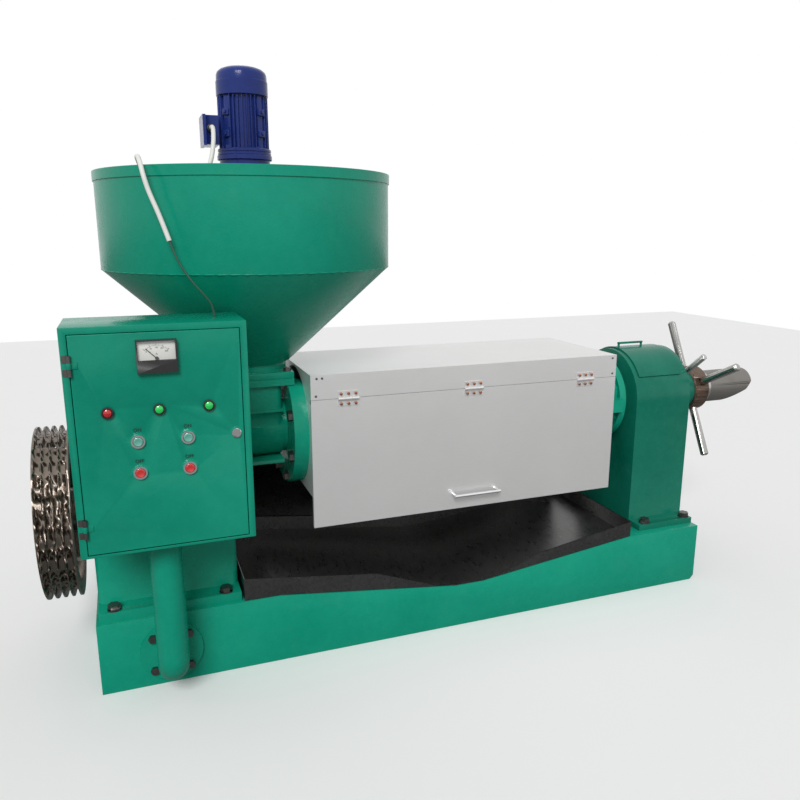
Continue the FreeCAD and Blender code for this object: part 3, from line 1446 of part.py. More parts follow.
def switchgear():
    """What the cabinet holds: a back plate with contactors, relays and a terminal strip."""
    back = cabinet_back - s.cabinet_sheet
    plate_y = (back - s.plate_stand, back - s.plate_stand + 2)
    left = s.cabinet_left + 30
    parts = [block((left, cabinet_right - 30), plate_y, (s.cabinet_foot + 50, cabinet_top - 40))]
    for x in (left + 14, cabinet_right - 44):
        for z in (s.cabinet_foot + 70, cabinet_top - 60):
            parts.append(cylinder("Y", 5, plate_y[1], back, (x, z)))
    front = plate_y[0] - s.switchgear_depth
    for index in range(3):
        x = left + 30 + 100 * index
        parts.append(block((x, x + 60), (front, plate_y[0]),
                           (s.cabinet_foot + 270, s.cabinet_foot + 350)))
        parts.append(block((x + 8, x + 52), (front + 15, plate_y[0]),
                           (s.cabinet_foot + 190, s.cabinet_foot + 250)))
    parts.append(block((left + 30, cabinet_right - 60), (plate_y[0] - 40, plate_y[0]),
                       (s.cabinet_foot + 90, s.cabinet_foot + 130)))
    parts.append(block((left + 60, left + 170), (front + 5, plate_y[0]),
                       (s.cabinet_foot + 390, s.cabinet_foot + 460)))
    finished("switchgear", together(*parts))


def cabinet_post():
    """The hollow post: a plate under the cabinet, a bend, and a round flange on the rail."""
    z = s.elbow_height
    radius = s.post_radius
    bend = s.post_radius * 1.3
    where = (s.post_x, s.post_y)
    plate_top = s.cabinet_foot
    plate_foot = plate_top - s.cap_plate_thickness
    half = s.cap_plate / 2
    plate = block((s.post_x - half, s.post_x + half), (s.post_y - half, s.post_y + half),
                  (plate_foot, plate_top))
    upright = cylinder("Z", radius, z + bend, plate_foot, where)
    elbow = new_body(x=s.post_x, y=s.post_y + bend, z=z + bend, axis=Vector(0, 0, 1), angle=90)
    sketch = new_sketch(elbow, "XY")
    draw(sketch, [(-bend, size(0), radius)])
    solid = elbow.newObject("PartDesign::Revolution", "bend")
    solid.Profile = sketch
    solid.ReferenceAxis = (sketch, ["V_Axis"])
    solid.Angle = 90
    solid.Reversed = True
    turned_elbow = together(elbow)
    stub = cylinder("Y", radius, s.post_y + bend, base_front - s.post_flange, (s.post_x, z))
    flange = cylinder("Y", s.post_flange_radius, base_front - s.post_flange, base_front,
                      (s.post_x, z))
    bore = cylinder("Z", radius - s.post_wall, z + bend, plate_top, where)
    finished("cabinet_post", without(fused(plate, upright, turned_elbow, stub, flange), bore))


# ---------------------------------------------------------------- fasteners

def upright_bolt(x, y, z):
    """A hexagon-headed bolt with its washer, standing on the level z."""
    return [cylinder("Z", s.washer_radius, z, z + s.washer, (x, y)),
            hexagon("Z", s.bolt_head_radius, z + s.washer, z + s.washer + s.bolt_head, (x, y)),
            cylinder("Z", s.bolt_shank - 1, z - s.housing_floor, z, (x, y))]


def frame_bolts():
    bolts = []
    for side in (-1, 1):
        y = side * (gearbox_half + s.foot_reach - s.foot_bolt_edge)
        for x in (gearbox_left + s.foot_bolt_inset, gearbox_right - s.foot_bolt_inset):
            bolts.append(fused(*upright_bolt(x, y, s.rail_height + s.foot_height)))
        y = side * (s.housing_half_width + s.housing_foot_reach - s.foot_bolt_edge)
        for x in (s.housing_left + s.foot_bolt_inset - 6,
                  housing_right - s.foot_bolt_inset + 20):
            bolts.append(fused(*upright_bolt(x, y, s.rail_height + s.housing_floor)))
    finished("frame_bolts", together(*bolts))


def flange_bolts():
    """Bolts of the inlet rings, the throat plates and the post's flange."""
    bolts = []
    low = nose_end - s.bolt_head
    for index in range(1, SIZES["flange_bolt_count"] - 1):
        angle = 360 / s.flange_bolt_count * (index + 0.5)
        where = (s.flange_bolt_circle / 2 * sine(angle),
                 s.shaft_height + s.flange_bolt_circle / 2 * cosine(angle))
        bolts.append(hexagon("X", s.bolt_head_radius, low, nose_end, where))
    reach = s.plate_size / 2 - s.bolt_head_radius
    for across in (-1, 1):
        for side in (-1, 1):
            where = (s.hopper_x + across * reach, side * reach)
            bolts.append(hexagon("Z", s.bolt_head_radius * 0.7, hopper_plate_top,
                                 hopper_plate_top + s.bolt_head * 0.8, where))
    for index in range(4):
        angle = 45 + 90 * index
        where = (s.post_x + s.post_bolt_circle / 2 * sine(angle),
                 s.elbow_height + s.post_bolt_circle / 2 * cosine(angle))
        outer = base_front - s.post_flange
        bolts.append(hexagon("Y", s.bolt_head_radius * 0.7, outer - s.bolt_head * 0.8, outer,
                             where))
    finished("flange_bolts", together(*bolts))


# ---------------------------------------------------------------- the stirrer's cable

SLEEVE_ROUTE = [
    (-604, -62, 1506), (-604, -95, 1506), (-606, -122, 1486), (-610, -137, 1452),
    (-620, -148, 1408), (-644, -158, 1366), (-684, -172, 1345), (-728, -192, 1345),
    (-767, -214, 1357), (-797, -238, 1384), (-806, -264, 1407), (-805, -294, 1407),
    (-801, -320, 1390), (-797, -336, 1362), (-787, -342, 1322), (-768, -353, 1272),
    (-750, -364, 1212)]

LEAD_ROUTE = [
    (-750, -364, 1212), (-739.2, -370.6, 1176), (-722, -379, 1142), (-702, -388, 1112),
    (-680, -395, 1086), (-661, -397, 1058), (-661, -397, 1034)]


def cable_path(route):
    """Straight runs joined by arcs as large as the runs on both sides allow."""
    points = [Vector(*point) for point in route]
    edges = []
    here = points[0]
    radii = []
    for before, corner, after in zip(points, points[1:], points[2:]):
        into = (corner - before).normalize()
        out = (after - corner).normalize()
        half_turn = into.getAngle(out) / 2
        cut = 0.45 * min((corner - before).Length, (after - corner).Length)
        radius = cut / math.tan(half_turn)
        radii.append(radius)
        start = corner - into * cut
        end = corner + out * cut
        sagitta = radius * (1 / math.cos(half_turn) - 1)
        middle = corner + (out - into).normalize() * sagitta
        edges.append(Part.LineSegment(here, start).toShape())
        edges.append(Part.Arc(start, middle, end).toShape())
        here = end
    edges.append(Part.LineSegment(here, points[-1]).toShape())
    return Part.Wire(edges), radii


def cable_tube(label, route, radius):
    wire, radii = cable_path(route)
    start = Vector(*route[0])
    direction = Vector(*route[1]) - start
    disc = Part.Wire([Part.Circle(start, direction, radius.value).toShape()])
    tube = wire.makePipeShell([disc], True, False)
    item = doc.addObject("Part::Feature", label)
    item.Shape = tube
    item.Placement = Placement()
    wanted = math.pi * radius.value ** 2 * wire.Length
    print("%s: arc radii %s, length %.0f, volume ratio %.4f" % (
        label, [round(value) for value in radii], wire.Length, tube.Volume / wanted))
    finished(label, item)


# ---------------------------------------------------------------- build and write

def build():
    base_rail("base_front_rail", -1)
    base_rail("base_rear_rail", 1)
    base_members()
    oil_tray()
    splash_plate()
    gearbox_case()
    gearbox_top()
    gearbox_bearings()
    bearing_caps()
    input_shaft()
    intermediate_shaft()
    main_gear()
    pulley()
    main_shaft()
    press_worms()
    feed_body()
    hopper()
    motor_beam()
    stirrer_gearbox()
    stirrer_motor()
    fan_cowl()
    terminal_box()
    cable_gland()
    stirrer_shaft()
    inlet_flange()
    cage_half("cage_lower", -1)
    cage_half("cage_upper", 1)
    cage_bars()
    cage_bolts()
    cage_end_flange()
    end_housing()
    housing_lid()
    jam_ring()
    capstan_hub()
    capstan_rods()
    choke_sleeve()
    discharge_hood()
    cover_shell()
    cover_door()
    hinge_leaves("cover_hinge_leaves", True)
    hinge_leaves("door_hinge_leaves", False)
    door_handle()
    cabinet_box()
    cabinet_door()
    cabinet_hinges()
    indicator_lamps()
    push_button("start_button_left", 0, s.start_height)
    push_button("start_button_right", 1, s.start_height)
    push_button("stop_button_left", 0, s.stop_height)
    push_button("stop_button_right", 1, s.stop_height)
    button_bezels()
    ammeter_case()
    ammeter_pointer()
    door_lock()
    switchgear()
    cabinet_post()
    frame_bolts()
    flange_bolts()
    cable_tube("cable_sleeve", SLEEVE_ROUTE, s.sleeve_cable_radius)
    cable_tube("cable_lead", LEAD_ROUTE, s.lead_cable_radius)


build()
doc.recompute()

faults = ["%s (%s): %s" % (item.Label, item.TypeId, item.State) for item in doc.Objects
          if "Invalid" in item.State or "Error" in item.State]
for piece in pieces:
    if piece.Shape.isNull() or not piece.Shape.isValid() or not piece.Shape.Solids:
        faults.append("%s has no valid solid" % piece.Label)
if faults:
    raise RuntimeError("\n".join(faults))

os.makedirs("parts", exist_ok=True)
for piece in pieces:
    piece.Shape.exportStep("parts/%s.step" % piece.Label)
print("%d sub-parts written" % len(pieces))
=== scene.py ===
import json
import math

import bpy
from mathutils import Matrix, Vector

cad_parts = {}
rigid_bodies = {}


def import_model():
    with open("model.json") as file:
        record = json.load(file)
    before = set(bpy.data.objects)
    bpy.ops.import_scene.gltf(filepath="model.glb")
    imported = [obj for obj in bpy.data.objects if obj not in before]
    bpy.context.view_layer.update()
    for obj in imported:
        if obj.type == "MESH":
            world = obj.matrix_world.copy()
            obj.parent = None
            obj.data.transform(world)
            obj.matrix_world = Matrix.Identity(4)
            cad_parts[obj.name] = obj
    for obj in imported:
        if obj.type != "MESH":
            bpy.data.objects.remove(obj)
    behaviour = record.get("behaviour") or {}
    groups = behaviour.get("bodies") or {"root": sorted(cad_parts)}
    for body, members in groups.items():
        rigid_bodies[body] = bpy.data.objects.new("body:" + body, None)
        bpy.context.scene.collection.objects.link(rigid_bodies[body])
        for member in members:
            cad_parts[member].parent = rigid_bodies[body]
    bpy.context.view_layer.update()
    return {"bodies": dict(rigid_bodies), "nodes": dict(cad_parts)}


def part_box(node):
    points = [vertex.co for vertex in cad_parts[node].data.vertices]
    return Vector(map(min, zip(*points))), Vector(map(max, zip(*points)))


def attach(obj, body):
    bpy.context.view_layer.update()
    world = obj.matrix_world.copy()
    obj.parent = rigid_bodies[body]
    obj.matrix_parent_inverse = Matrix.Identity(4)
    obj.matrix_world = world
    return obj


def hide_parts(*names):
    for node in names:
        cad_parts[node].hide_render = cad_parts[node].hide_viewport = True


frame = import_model()

# %% [markdown]
# # A screw oil press, dressed piece by piece
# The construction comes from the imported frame: every node is already at its real size and place.
# This notebook gives each node its finish and adds the small pieces that the eye expects, such as
# fins, lamps, buttons, screws and a printed dial. Each code cell is preceded by a few sentences that say
# what the piece or the finish is on the real press, and why it is made the way it is.

nodes = frame["nodes"]

# %% [markdown]
# ## Camera
# The press is seen from the front left, a little above the hopper's cone, with a moderately wide lens.
# A camera is placed by its eye point and two turns: down by its pitch and round by its yaw. A Track To
# constraint could aim it as well, but two plain angles are easier to keep.

# %% The camera
EYE = (-0.8587, -2.2183, 1.2411)
PITCH_DOWN = 13.06
YAW_RIGHT = 20.29
LENS = 33.32

bpy.ops.object.camera_add(location=EYE)
camera = bpy.context.object
camera.name = "front_left_camera"
camera.rotation_euler = (math.radians(90 - PITCH_DOWN), 0, math.radians(-YAW_RIGHT))
camera.data.lens = LENS
camera.data.sensor_width = 36
camera.data.clip_end = 60
bpy.context.scene.camera = camera
print("camera at", EYE, "lens", LENS)

# %% [markdown]
# ## Light and floor
# Plain studio light: an even pale room and one large soft sun from the upper left front. The room shows
# pure white to the camera and in reflections, but lights the press at a lower level, so that colours
# render as they are written. The floor comes last, in a cell of its own.


# %% Room, sun and floor
ROOM_LIGHT = 0.44
SUN_LIGHT = 2.1
SUN_ANGLE = math.radians(24)
SUN_TILT = math.radians(52)
SUN_TURN = math.radians(-22)

scene = bpy.context.scene
scene.view_settings.view_transform = "Standard"
room = bpy.data.worlds.new("pale_room")
scene.world = room
room.use_nodes = True
room_tree = room.node_tree
room_tree.nodes.clear()
rays = room_tree.nodes.new("ShaderNodeLightPath")
seen = room_tree.nodes.new("ShaderNodeMath")
seen.operation = "MAXIMUM"
mirrored = room_tree.nodes.new("ShaderNodeMath")
mirrored.operation = "MAXIMUM"
lit = room_tree.nodes.new("ShaderNodeBackground")
lit.inputs["Strength"].default_value = ROOM_LIGHT
lit.inputs["Color"].default_value = (1, 1, 1, 1)
white = room_tree.nodes.new("ShaderNodeBackground")
white.inputs["Strength"].default_value = 1
white.inputs["Color"].default_value = (1, 1, 1, 1)
chosen = room_tree.nodes.new("ShaderNodeMixShader")
sky = room_tree.nodes.new("ShaderNodeOutputWorld")
room_tree.links.new(rays.outputs["Is Camera Ray"], mirrored.inputs[0])
room_tree.links.new(rays.outputs["Is Glossy Ray"], mirrored.inputs[1])
room_tree.links.new(mirrored.outputs[0], seen.inputs[0])
room_tree.links.new(rays.outputs["Is Transmission Ray"], seen.inputs[1])
room_tree.links.new(seen.outputs[0], chosen.inputs[0])
room_tree.links.new(lit.outputs[0], chosen.inputs[1])
room_tree.links.new(white.outputs[0], chosen.inputs[2])
room_tree.links.new(chosen.outputs[0], sky.inputs[0])

bpy.ops.object.light_add(type="SUN", location=(-3, -4, 5))
sun = bpy.context.object
sun.name = "soft_sun"
sun.data.energy = SUN_LIGHT
sun.data.angle = SUN_ANGLE
sun.rotation_euler = (SUN_TILT, 0, SUN_TURN)
print("room", ROOM_LIGHT, "sun", SUN_LIGHT)

# %% [markdown]
# ## Writing shader maths as sums
# A texture's strength is usually a little sum: noise times a wear mask plus a base value. Wiring Math
# nodes by hand hides that sum, so this small class wraps a socket and lets Python's own operators add
# the nodes. One method makes every other kind of node.


# %% Wires and finishes
class Wire:
    """A socket that takes part in sums: each operator adds a Math node."""

    def __init__(self, tree, socket):
        self.tree = tree
        self.socket = socket

    def maths(self, operation, *values):
        step = self.tree.nodes.new("ShaderNodeMath")
        step.operation = operation
        for index, value in enumerate(values):
            if isinstance(value, Wire):
                self.tree.links.new(value.socket, step.inputs[index])
            else:
                step.inputs[index].default_value = value
        return Wire(self.tree, step.outputs[0])

    def __add__(self, other):
        return self.maths("ADD", self, other)

    def __radd__(self, other):
        return self.maths("ADD", other, self)

    def __sub__(self, other):
        return self.maths("SUBTRACT", self, other)

    def __rsub__(self, other):
        return self.maths("SUBTRACT", other, self)

    def __mul__(self, other):
        return self.maths("MULTIPLY", self, other)

    def __rmul__(self, other):
        return self.maths("MULTIPLY", other, self)

    def bounded(self):
        return self.maths("MINIMUM", self.maths("MAXIMUM", self, 0.0), 1.0)


class Finish:
    """One material, built round a Principled shader."""

    def __init__(self, name, **constants):
        self.material = bpy.data.materials.new(name)
        self.material.use_nodes = True
        self.tree = self.material.node_tree
        self.shader = self.tree.nodes["Principled BSDF"]
        for socket, value in constants.items():
            self.shader.inputs[socket.replace("_", " ")].default_value = value
        coordinates = self.tree.nodes.new("ShaderNodeTexCoord")
        self.place = Wire(self.tree, coordinates.outputs["Object"])

    def node(self, kind, output=0, settings=None, **sockets):
        """Adds a node, sets its options first and then fills or links its sockets."""
        made = self.tree.nodes.new(kind)
        for option, value in (settings or {}).items():
            setattr(made, option, value)
        for socket, value in sockets.items():
            key = socket.replace("_", " ")
            target = made.inputs[int(key[1:])] if key[0] == "i" and key[1:].isdigit() else made.inputs[key]
            if isinstance(value, Wire):
                self.tree.links.new(value.socket, target)
            else:
                target.default_value = value
        return Wire(self.tree, made.outputs[output])

    def noise(self, scale, detail=3.0, roughness=0.5, place=None):
        return self.node("ShaderNodeTexNoise", 0, Vector=place or self.place, Scale=scale,
                         Detail=detail, Roughness=roughness)

    def stretched(self, x, y, z):
        return self.node("ShaderNodeMapping", 0, Vector=self.place, Scale=(x, y, z))

    def mixed(self, factor, first, second):
        made = self.tree.nodes.new("ShaderNodeMix")
        made.data_type = "RGBA"
        for index, value in ((0, factor), (6, first), (7, second)):
            if isinstance(value, Wire):
                self.tree.links.new(value.socket, made.inputs[index])
            else:
                made.inputs[index].default_value = value if index == 0 else (*value, 1)
        return Wire(self.tree, made.outputs[2])

    def bump(self, height, distance, strength=1.0):
        return self.node("ShaderNodeBump", 0, Height=height, Distance=distance, Strength=strength)

    def set(self, **links):
        for socket, wire in links.items():
            self.tree.links.new(wire.socket, self.shader.inputs[socket.replace("_", " ")])
        return self.material


print("wires and finishes are ready")

# %% [markdown]
# ## Enamel, metal and plastic
# The press is brushed and sprayed with one green gloss enamel: smooth on sheet metal, lumpy where it
# covers a casting. Its tone drifts a little and the gloss is uneven, so noise feeds the colour and the
# roughness, and a fine bump gives the orange-peel skin. The end housing and its lid get a darker copy of
# the green, which is painted shade. Metals use the same idea with a high Metallic value and noise that
# is stretched along the grain.


# %% Paint, metal and plastic
GREEN = (0.000, 0.300, 0.190)
# The next green is painted shade: the same enamel at about half its brightness, for the end housing that
# lies away from the light.
SHADE_DARKENED_GREEN = (0.000, 0.155, 0.100)
DUSTY_GREEN = (0.10, 0.30, 0.22)
NAVY = (0.012, 0.030, 0.190)
PAINT_SHINE = 0.22


def paint(name, colour, tone=0.12, gloss=0.26, peel=0.0006, peel_scale=160.0, lumps=0.0,
          lump_scale=28.0, dust=0.10):
    """Gloss enamel: drifting tone, uneven gloss, orange peel and, on castings, lumps."""
    finish = Finish(name, Specular_IOR_Level=PAINT_SHINE)
    drift = finish.noise(3.1, 4.0, 0.6)
    fine = finish.noise(41.0, 5.0, 0.65)
    mix = (drift * 0.7 + fine * 0.3 - 0.5) * 2.2 + 0.5
    dark = tuple(part * (1 - tone) for part in colour)
    light = tuple(min(1.0, part * (1 + tone) + 0.01) for part in colour)
    tone_colour = finish.mixed(mix.bounded(), dark, light)
    settled = (finish.noise(9.0, 6.0, 0.7) - 0.56) * 5.0
    dusty = finish.mixed(settled.bounded() * dust, tone_colour, DUSTY_GREEN)
    rough = (finish.noise(17.0, 4.0, 0.6) - 0.5) * 0.22 + gloss
    skin = finish.noise(peel_scale, 2.0, 0.5) * peel
    if lumps:
        skin = skin + finish.noise(lump_scale, 3.0, 0.55) * lumps
    return finish.set(Base_Color=dusty, Roughness=rough.bounded(),
                      Normal=finish.bump(skin, 1.0, 0.6))


def metal(name, colour, roughness=0.3, grain=(1, 1, 1), grain_depth=0.0003, stain=(0.3, 0.2, 0.12),
          stained=0.0, tone=0.12, metallic=1.0, grain_scale=90.0):
    """Bare metal: grain stretched along one way, a drifting tone and an optional stain."""
    finish = Finish(name)
    grained = finish.noise(grain_scale, 4.0, 0.7, finish.stretched(*grain))
    drift = finish.noise(4.0, 5.0, 0.6)
    mix = (grained * 0.5 + drift * 0.5 - 0.5) * 2.4 + 0.5
    dark = tuple(part * (1 - tone) for part in colour)
    light = tuple(min(1.0, part * (1 + tone)) for part in colour)
    base = finish.mixed(mix.bounded(), dark, light)
    spots = (finish.noise(13.0, 8.0, 0.7) - (0.62 - 0.3 * stained)) * 6.0
    cover = spots.bounded() * min(1.0, stained * 1.4)
    coloured = finish.mixed(cover, base, stain)
    rough = (grained - 0.5) * 0.25 + roughness + cover * 0.35
    shine = metallic - cover * 0.55
    return finish.set(Base_Color=coloured, Roughness=rough.bounded(), Metallic=shine.bounded(),
                      Normal=finish.bump(grained * grain_depth, 1.0, 0.5))


def plastic(name, colour, roughness=0.4, tone=0.06, pebble=0.0002, coat=0.0):
    """Moulded plastic with a faint pebble and slightly uneven gloss."""
    finish = Finish(name, Coat_Weight=coat, Coat_Roughness=0.08)
    drift = finish.noise(30.0, 3.0, 0.6)
    dark = tuple(part * (1 - tone) for part in colour)
    light = tuple(min(1.0, part * (1 + tone)) for part in colour)
    rough = (finish.noise(70.0, 3.0, 0.5) - 0.5) * 0.16 + roughness
    return finish.set(Base_Color=finish.mixed(drift, dark, light), Roughness=rough.bounded(),
                      Normal=finish.bump(finish.noise(420.0, 2.0, 0.5) * pebble, 1.0, 0.5))


enamel = paint("green_enamel", GREEN)
cabinet_enamel = paint("cabinet_enamel", (0.000, 0.262, 0.166), peel=0.0004, dust=0.05)
cast_enamel = paint("enamel_on_casting", GREEN, tone=0.2, gloss=0.2, lumps=0.003, dust=0.06)
# Painted shade: the end housing and its lid get the same enamel in a darker green, for their side away
# from the light.
housing_enamel_painted_shade = paint("housing_enamel_painted_shade", SHADE_DARKENED_GREEN, tone=0.16, gloss=0.22, lumps=0.0012)
motor_enamel = paint("motor_enamel", NAVY, tone=0.25, gloss=0.18, lumps=0.0006, dust=0.02)
stainless = metal("stainless_sheet", (0.74, 0.735, 0.73), 0.38, (0.25, 1, 9), 0.00012, tone=0.05,
                  metallic=0.55)
tray_sheet = metal("tray_sheet", (0.11, 0.11, 0.108), 0.30, (1, 0.25, 1), 0.0002, tone=0.25,
                   stained=0.15, stain=(0.13, 0.12, 0.10))
turned = metal("turned_steel", (0.52, 0.51, 0.50), 0.28, (12, 1, 1), tone=0.14)
pulley_iron = metal("pulley_iron", (0.20, 0.168, 0.142), 0.30, (22, 0.6, 0.6), 0.00015, tone=0.16)
rod_steel = metal("bright_rod_steel", (0.42, 0.415, 0.40), 0.2, (1, 1, 1), stained=0.12,
                  stain=(0.30, 0.27, 0.24), tone=0.1)
hub_steel = metal("rusty_hub", (0.17, 0.125, 0.10), 0.42, (8, 1, 1), 0.0006, stained=0.5,
                  stain=(0.12, 0.06, 0.035), tone=0.2)
hood_steel = metal("dull_hood_steel", (0.215, 0.205, 0.19), 0.5, (1, 5, 5), 0.0006, stained=0.3,
                   stain=(0.14, 0.125, 0.105), tone=0.15, metallic=0.7)
bolt_steel = metal("dark_bolt_steel", (0.13, 0.125, 0.12), 0.38, tone=0.2, stained=0.2,
                   stain=(0.08, 0.05, 0.035))
rusty_screw = metal("rust_brown_screw", (0.34, 0.13, 0.07), 0.5, tone=0.3, stained=0.4,
                    stain=(0.20, 0.07, 0.03))
chrome = metal("bright_chrome", (0.83, 0.83, 0.84), 0.1, tone=0.03, grain_depth=0.00003)
bronze = metal("bearing_bronze", (0.55, 0.36, 0.16), 0.3, (6, 1, 1), tone=0.12)
worm_steel = metal("hard_worm_steel", (0.34, 0.33, 0.31), 0.36, tone=0.16, stained=0.3,
                   stain=(0.18, 0.13, 0.07))
black_plastic = plastic("black_plastic", (0.012, 0.012, 0.013), 0.35, coat=0.3)
grey_plastic = plastic("grey_plastic", (0.30, 0.31, 0.31), 0.45)
dial_white = plastic("dial_white", (0.80, 0.80, 0.76), 0.3, 0.03, 0.00005, coat=0.6)
start_teal = plastic("start_button_teal", (0.13, 0.42, 0.33), 0.3, coat=0.3)
stop_red = plastic("stop_button_red", (0.62, 0.035, 0.035), 0.3, coat=0.3)
red_lens = plastic("red_lens", (0.48, 0.01, 0.012), 0.12, coat=0.8)
green_lens = plastic("green_lens", (0.01, 0.62, 0.10), 0.12, coat=0.8)
sleeve_white = plastic("white_sleeve", (0.78, 0.78, 0.74), 0.5, 0.08, 0.0004)
lead_green = plastic("thin_lead_green", (0.015, 0.075, 0.045), 0.4, 0.1, 0.0002)
print(len(bpy.data.materials), "finishes")

# %% [markdown]
# ## Cables
# A white sleeve leaves the gland on the motor's wiring box, sags into the hopper, goes over the rim and
# hangs down the outside; a thin green lead comes out of it and enters the cabinet's top. Each is one
# smooth NURBS spline with a round bevel, which keeps the bends soft as on a real limp cable.

# %% The two cables
SLEEVE_ROUTE = [
    (-0.604, -0.062, 1.506), (-0.604, -0.095, 1.506), (-0.606, -0.122, 1.486),
    (-0.610, -0.137, 1.452), (-0.620, -0.148, 1.408), (-0.644, -0.158, 1.366),
    (-0.684, -0.172, 1.345), (-0.728, -0.192, 1.345), (-0.767, -0.214, 1.357),
    (-0.797, -0.238, 1.384), (-0.806, -0.264, 1.407), (-0.805, -0.294, 1.407),
    (-0.801, -0.320, 1.390), (-0.797, -0.336, 1.362), (-0.787, -0.342, 1.322),
    (-0.768, -0.353, 1.272), (-0.750, -0.364, 1.212)]
LEAD_ROUTE = [
    (-0.750, -0.364, 1.212), (-0.7392, -0.3706, 1.176), (-0.722, -0.379, 1.142),
    (-0.702, -0.388, 1.112), (-0.680, -0.395, 1.086), (-0.661, -0.397, 1.058),
    (-0.661, -0.397, 1.034)]


def cable(name, route, diameter, finish):
    """One smooth spline through the air, round in section."""
    curve = bpy.data.curves.new(name, "CURVE")
    curve.dimensions = "3D"
    line = curve.splines.new("NURBS")
    line.points.add(len(route) - 1)
    for point, place in zip(line.points, route):
        point.co = (*place, 1)
    line.order_u = 3
    line.use_endpoint_u = True
    curve.resolution_u = 8
    curve.bevel_depth = diameter / 2
    curve.bevel_resolution = 4
    curve.use_fill_caps = True
    curve.materials.append(finish)
    piece = bpy.data.objects.new(name, curve)
    scene.collection.objects.link(piece)
    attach(piece, "frame")
    return piece


SLEEVE_DIAMETER = 0.0116
LEAD_DIAMETER = 0.005
sleeve = cable("white_cable_sleeve", SLEEVE_ROUTE, SLEEVE_DIAMETER, sleeve_white)
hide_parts("cable_sleeve")
lead = cable("thin_green_lead", LEAD_ROUTE, LEAD_DIAMETER, lead_green)
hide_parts("cable_lead")
print("two cables")

# %% [markdown]
# ## Dressing the construction's own nodes
# A node whose shape is already right is copied, its loose triangles are merged and its flat faces are
# joined again, so that it can be smoothed by angle and given small worn edges with a Bevel modifier.
# Editing the node itself would break the frame, so only the copy is shaped.


# %% Copy, merge, soften, smooth
def alone(piece):
    """Selects one object and nothing else."""
    bpy.ops.object.select_all(action="DESELECT")
    piece.select_set(True)
    bpy.context.view_layer.objects.active = piece


def body_name(piece):
    """The body that a node or a finished piece rides on."""
    return next(name for name, empty in frame["bodies"].items() if piece.parent == empty)


MERGE_GAP = 0.00001
FLAT_ANGLE = math.radians(0.5)
SHARP_ANGLE = math.radians(40)


def dress(node, finish, edge=0.0, angle=32.0):
    """A smooth, bevelled copy of a node, which stands for it."""
    piece = nodes[node].copy()
    piece.data = nodes[node].data.copy()
    for key in list(piece.keys()):
        del piece[key]
    piece.name = node + "_dressed"
    piece.parent = None
    scene.collection.objects.link(piece)
    alone(piece)
    bpy.ops.object.mode_set(mode="EDIT")
    bpy.ops.mesh.select_all(action="SELECT")
    bpy.ops.mesh.remove_doubles(threshold=MERGE_GAP)
    bpy.ops.mesh.dissolve_limited(angle_limit=FLAT_ANGLE)
    bpy.ops.object.mode_set(mode="OBJECT")
    if edge:
        soft = piece.modifiers.new("worn_edges", "BEVEL")
        soft.width = edge
        soft.segments = 2
        soft.limit_method = "ANGLE"
        soft.angle_limit = SHARP_ANGLE
        soft.use_clamp_overlap = True
        soft.harden_normals = False
        bpy.ops.object.modifier_apply(modifier=soft.name)
    bpy.ops.object.shade_smooth_by_angle(angle=math.radians(angle))
    piece.data.materials.clear()
    piece.data.materials.append(finish)
    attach(piece, body_name(nodes[node]))
    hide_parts(node)
    return piece


def coat(node, finish):
    """Gives a node that keeps its own mesh a better finish."""
    mesh = nodes[node].data
    mesh.materials.clear()
    mesh.materials.append(finish)


DRESSED = {
    enamel: ["base_front_rail", "base_rear_rail", "base_cross_members", "gearbox_case",
             "gearbox_top", "gearbox_bearing_caps", "motor_beam", "cabinet_post"],
    cabinet_enamel: ["cabinet_box", "cabinet_door"],
    cast_enamel: ["feed_body", "inlet_flange", "cage_end_flange"],
    # The end housing and its lid take the darker green, which is painted shade.
    housing_enamel_painted_shade: ["end_housing", "housing_lid"],
    motor_enamel: ["terminal_box"],
    stainless: ["cover_shell", "cover_door", "cover_hinge_leaves", "door_hinge_leaves"],
    tray_sheet: ["oil_tray", "splash_plate"],
    turned: ["jam_ring", "choke_sleeve", "input_shaft", "intermediate_shaft", "main_gear",
             "main_shaft"],
    pulley_iron: ["pulley"],
    rod_steel: ["capstan_rods"],
    hub_steel: ["capstan_hub"],
    hood_steel: ["discharge_hood"],
    bolt_steel: ["frame_bolts", "flange_bolts"],
    chrome: ["door_lock", "button_bezels", "door_handle"],
    black_plastic: ["ammeter_case", "cable_gland"],
}
KEPT = {
    worm_steel: ["press_worms", "cage_bars", "stirrer_shaft"],
    cast_enamel: ["cage_lower", "cage_upper"],
    bolt_steel: ["cage_bolts", "cabinet_hinges", "ammeter_pointer"],
    bronze: ["gearbox_bearings"],
    grey_plastic: ["switchgear"],
}
EDGES = {"base_front_rail": 0.0012, "base_rear_rail": 0.0012, "cabinet_box": 0.001,
         "cabinet_door": 0.0015, "end_housing": 0.004, "gearbox_case": 0.002}
for finish, names in DRESSED.items():
    for name in names:
        dress(name, finish, EDGES.get(name, 0.0))
for finish, names in KEPT.items():
    for name in names:
        coat(name, finish)
print("dressed", sum(map(len, DRESSED.values())), "and coated", sum(map(len, KEPT.values())))

# %% [markdown]
# ## Turning and blocking out new pieces
# Many pieces of a press are turned on a lathe or cut from plate. A turned piece starts as one point that
# is extruded along its half outline and then spun round its axis. A block starts as a cube that is
# resized and gets bevelled edges. Both helpers end with the origin at the world's zero.


# %% Helpers for new pieces
SPIN_STEPS = 96


def settle(piece, finish, body, angle=35.0):
    """Ends a piece: outward faces, origin at zero, smoothed by angle, riding on its body."""
    bpy.ops.object.mode_set(mode="EDIT")
    bpy.ops.mesh.select_all(action="SELECT")
    bpy.ops.mesh.remove_doubles(threshold=0.000005)
    bpy.ops.mesh.normals_make_consistent(inside=False)
    bpy.ops.object.mode_set(mode="OBJECT")
    bpy.ops.object.transform_apply(location=True, rotation=True, scale=True)
    bpy.ops.object.shade_smooth_by_angle(angle=math.radians(angle))
    piece.data.materials.clear()
    piece.data.materials.append(finish)
    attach(piece, body)
    return piece


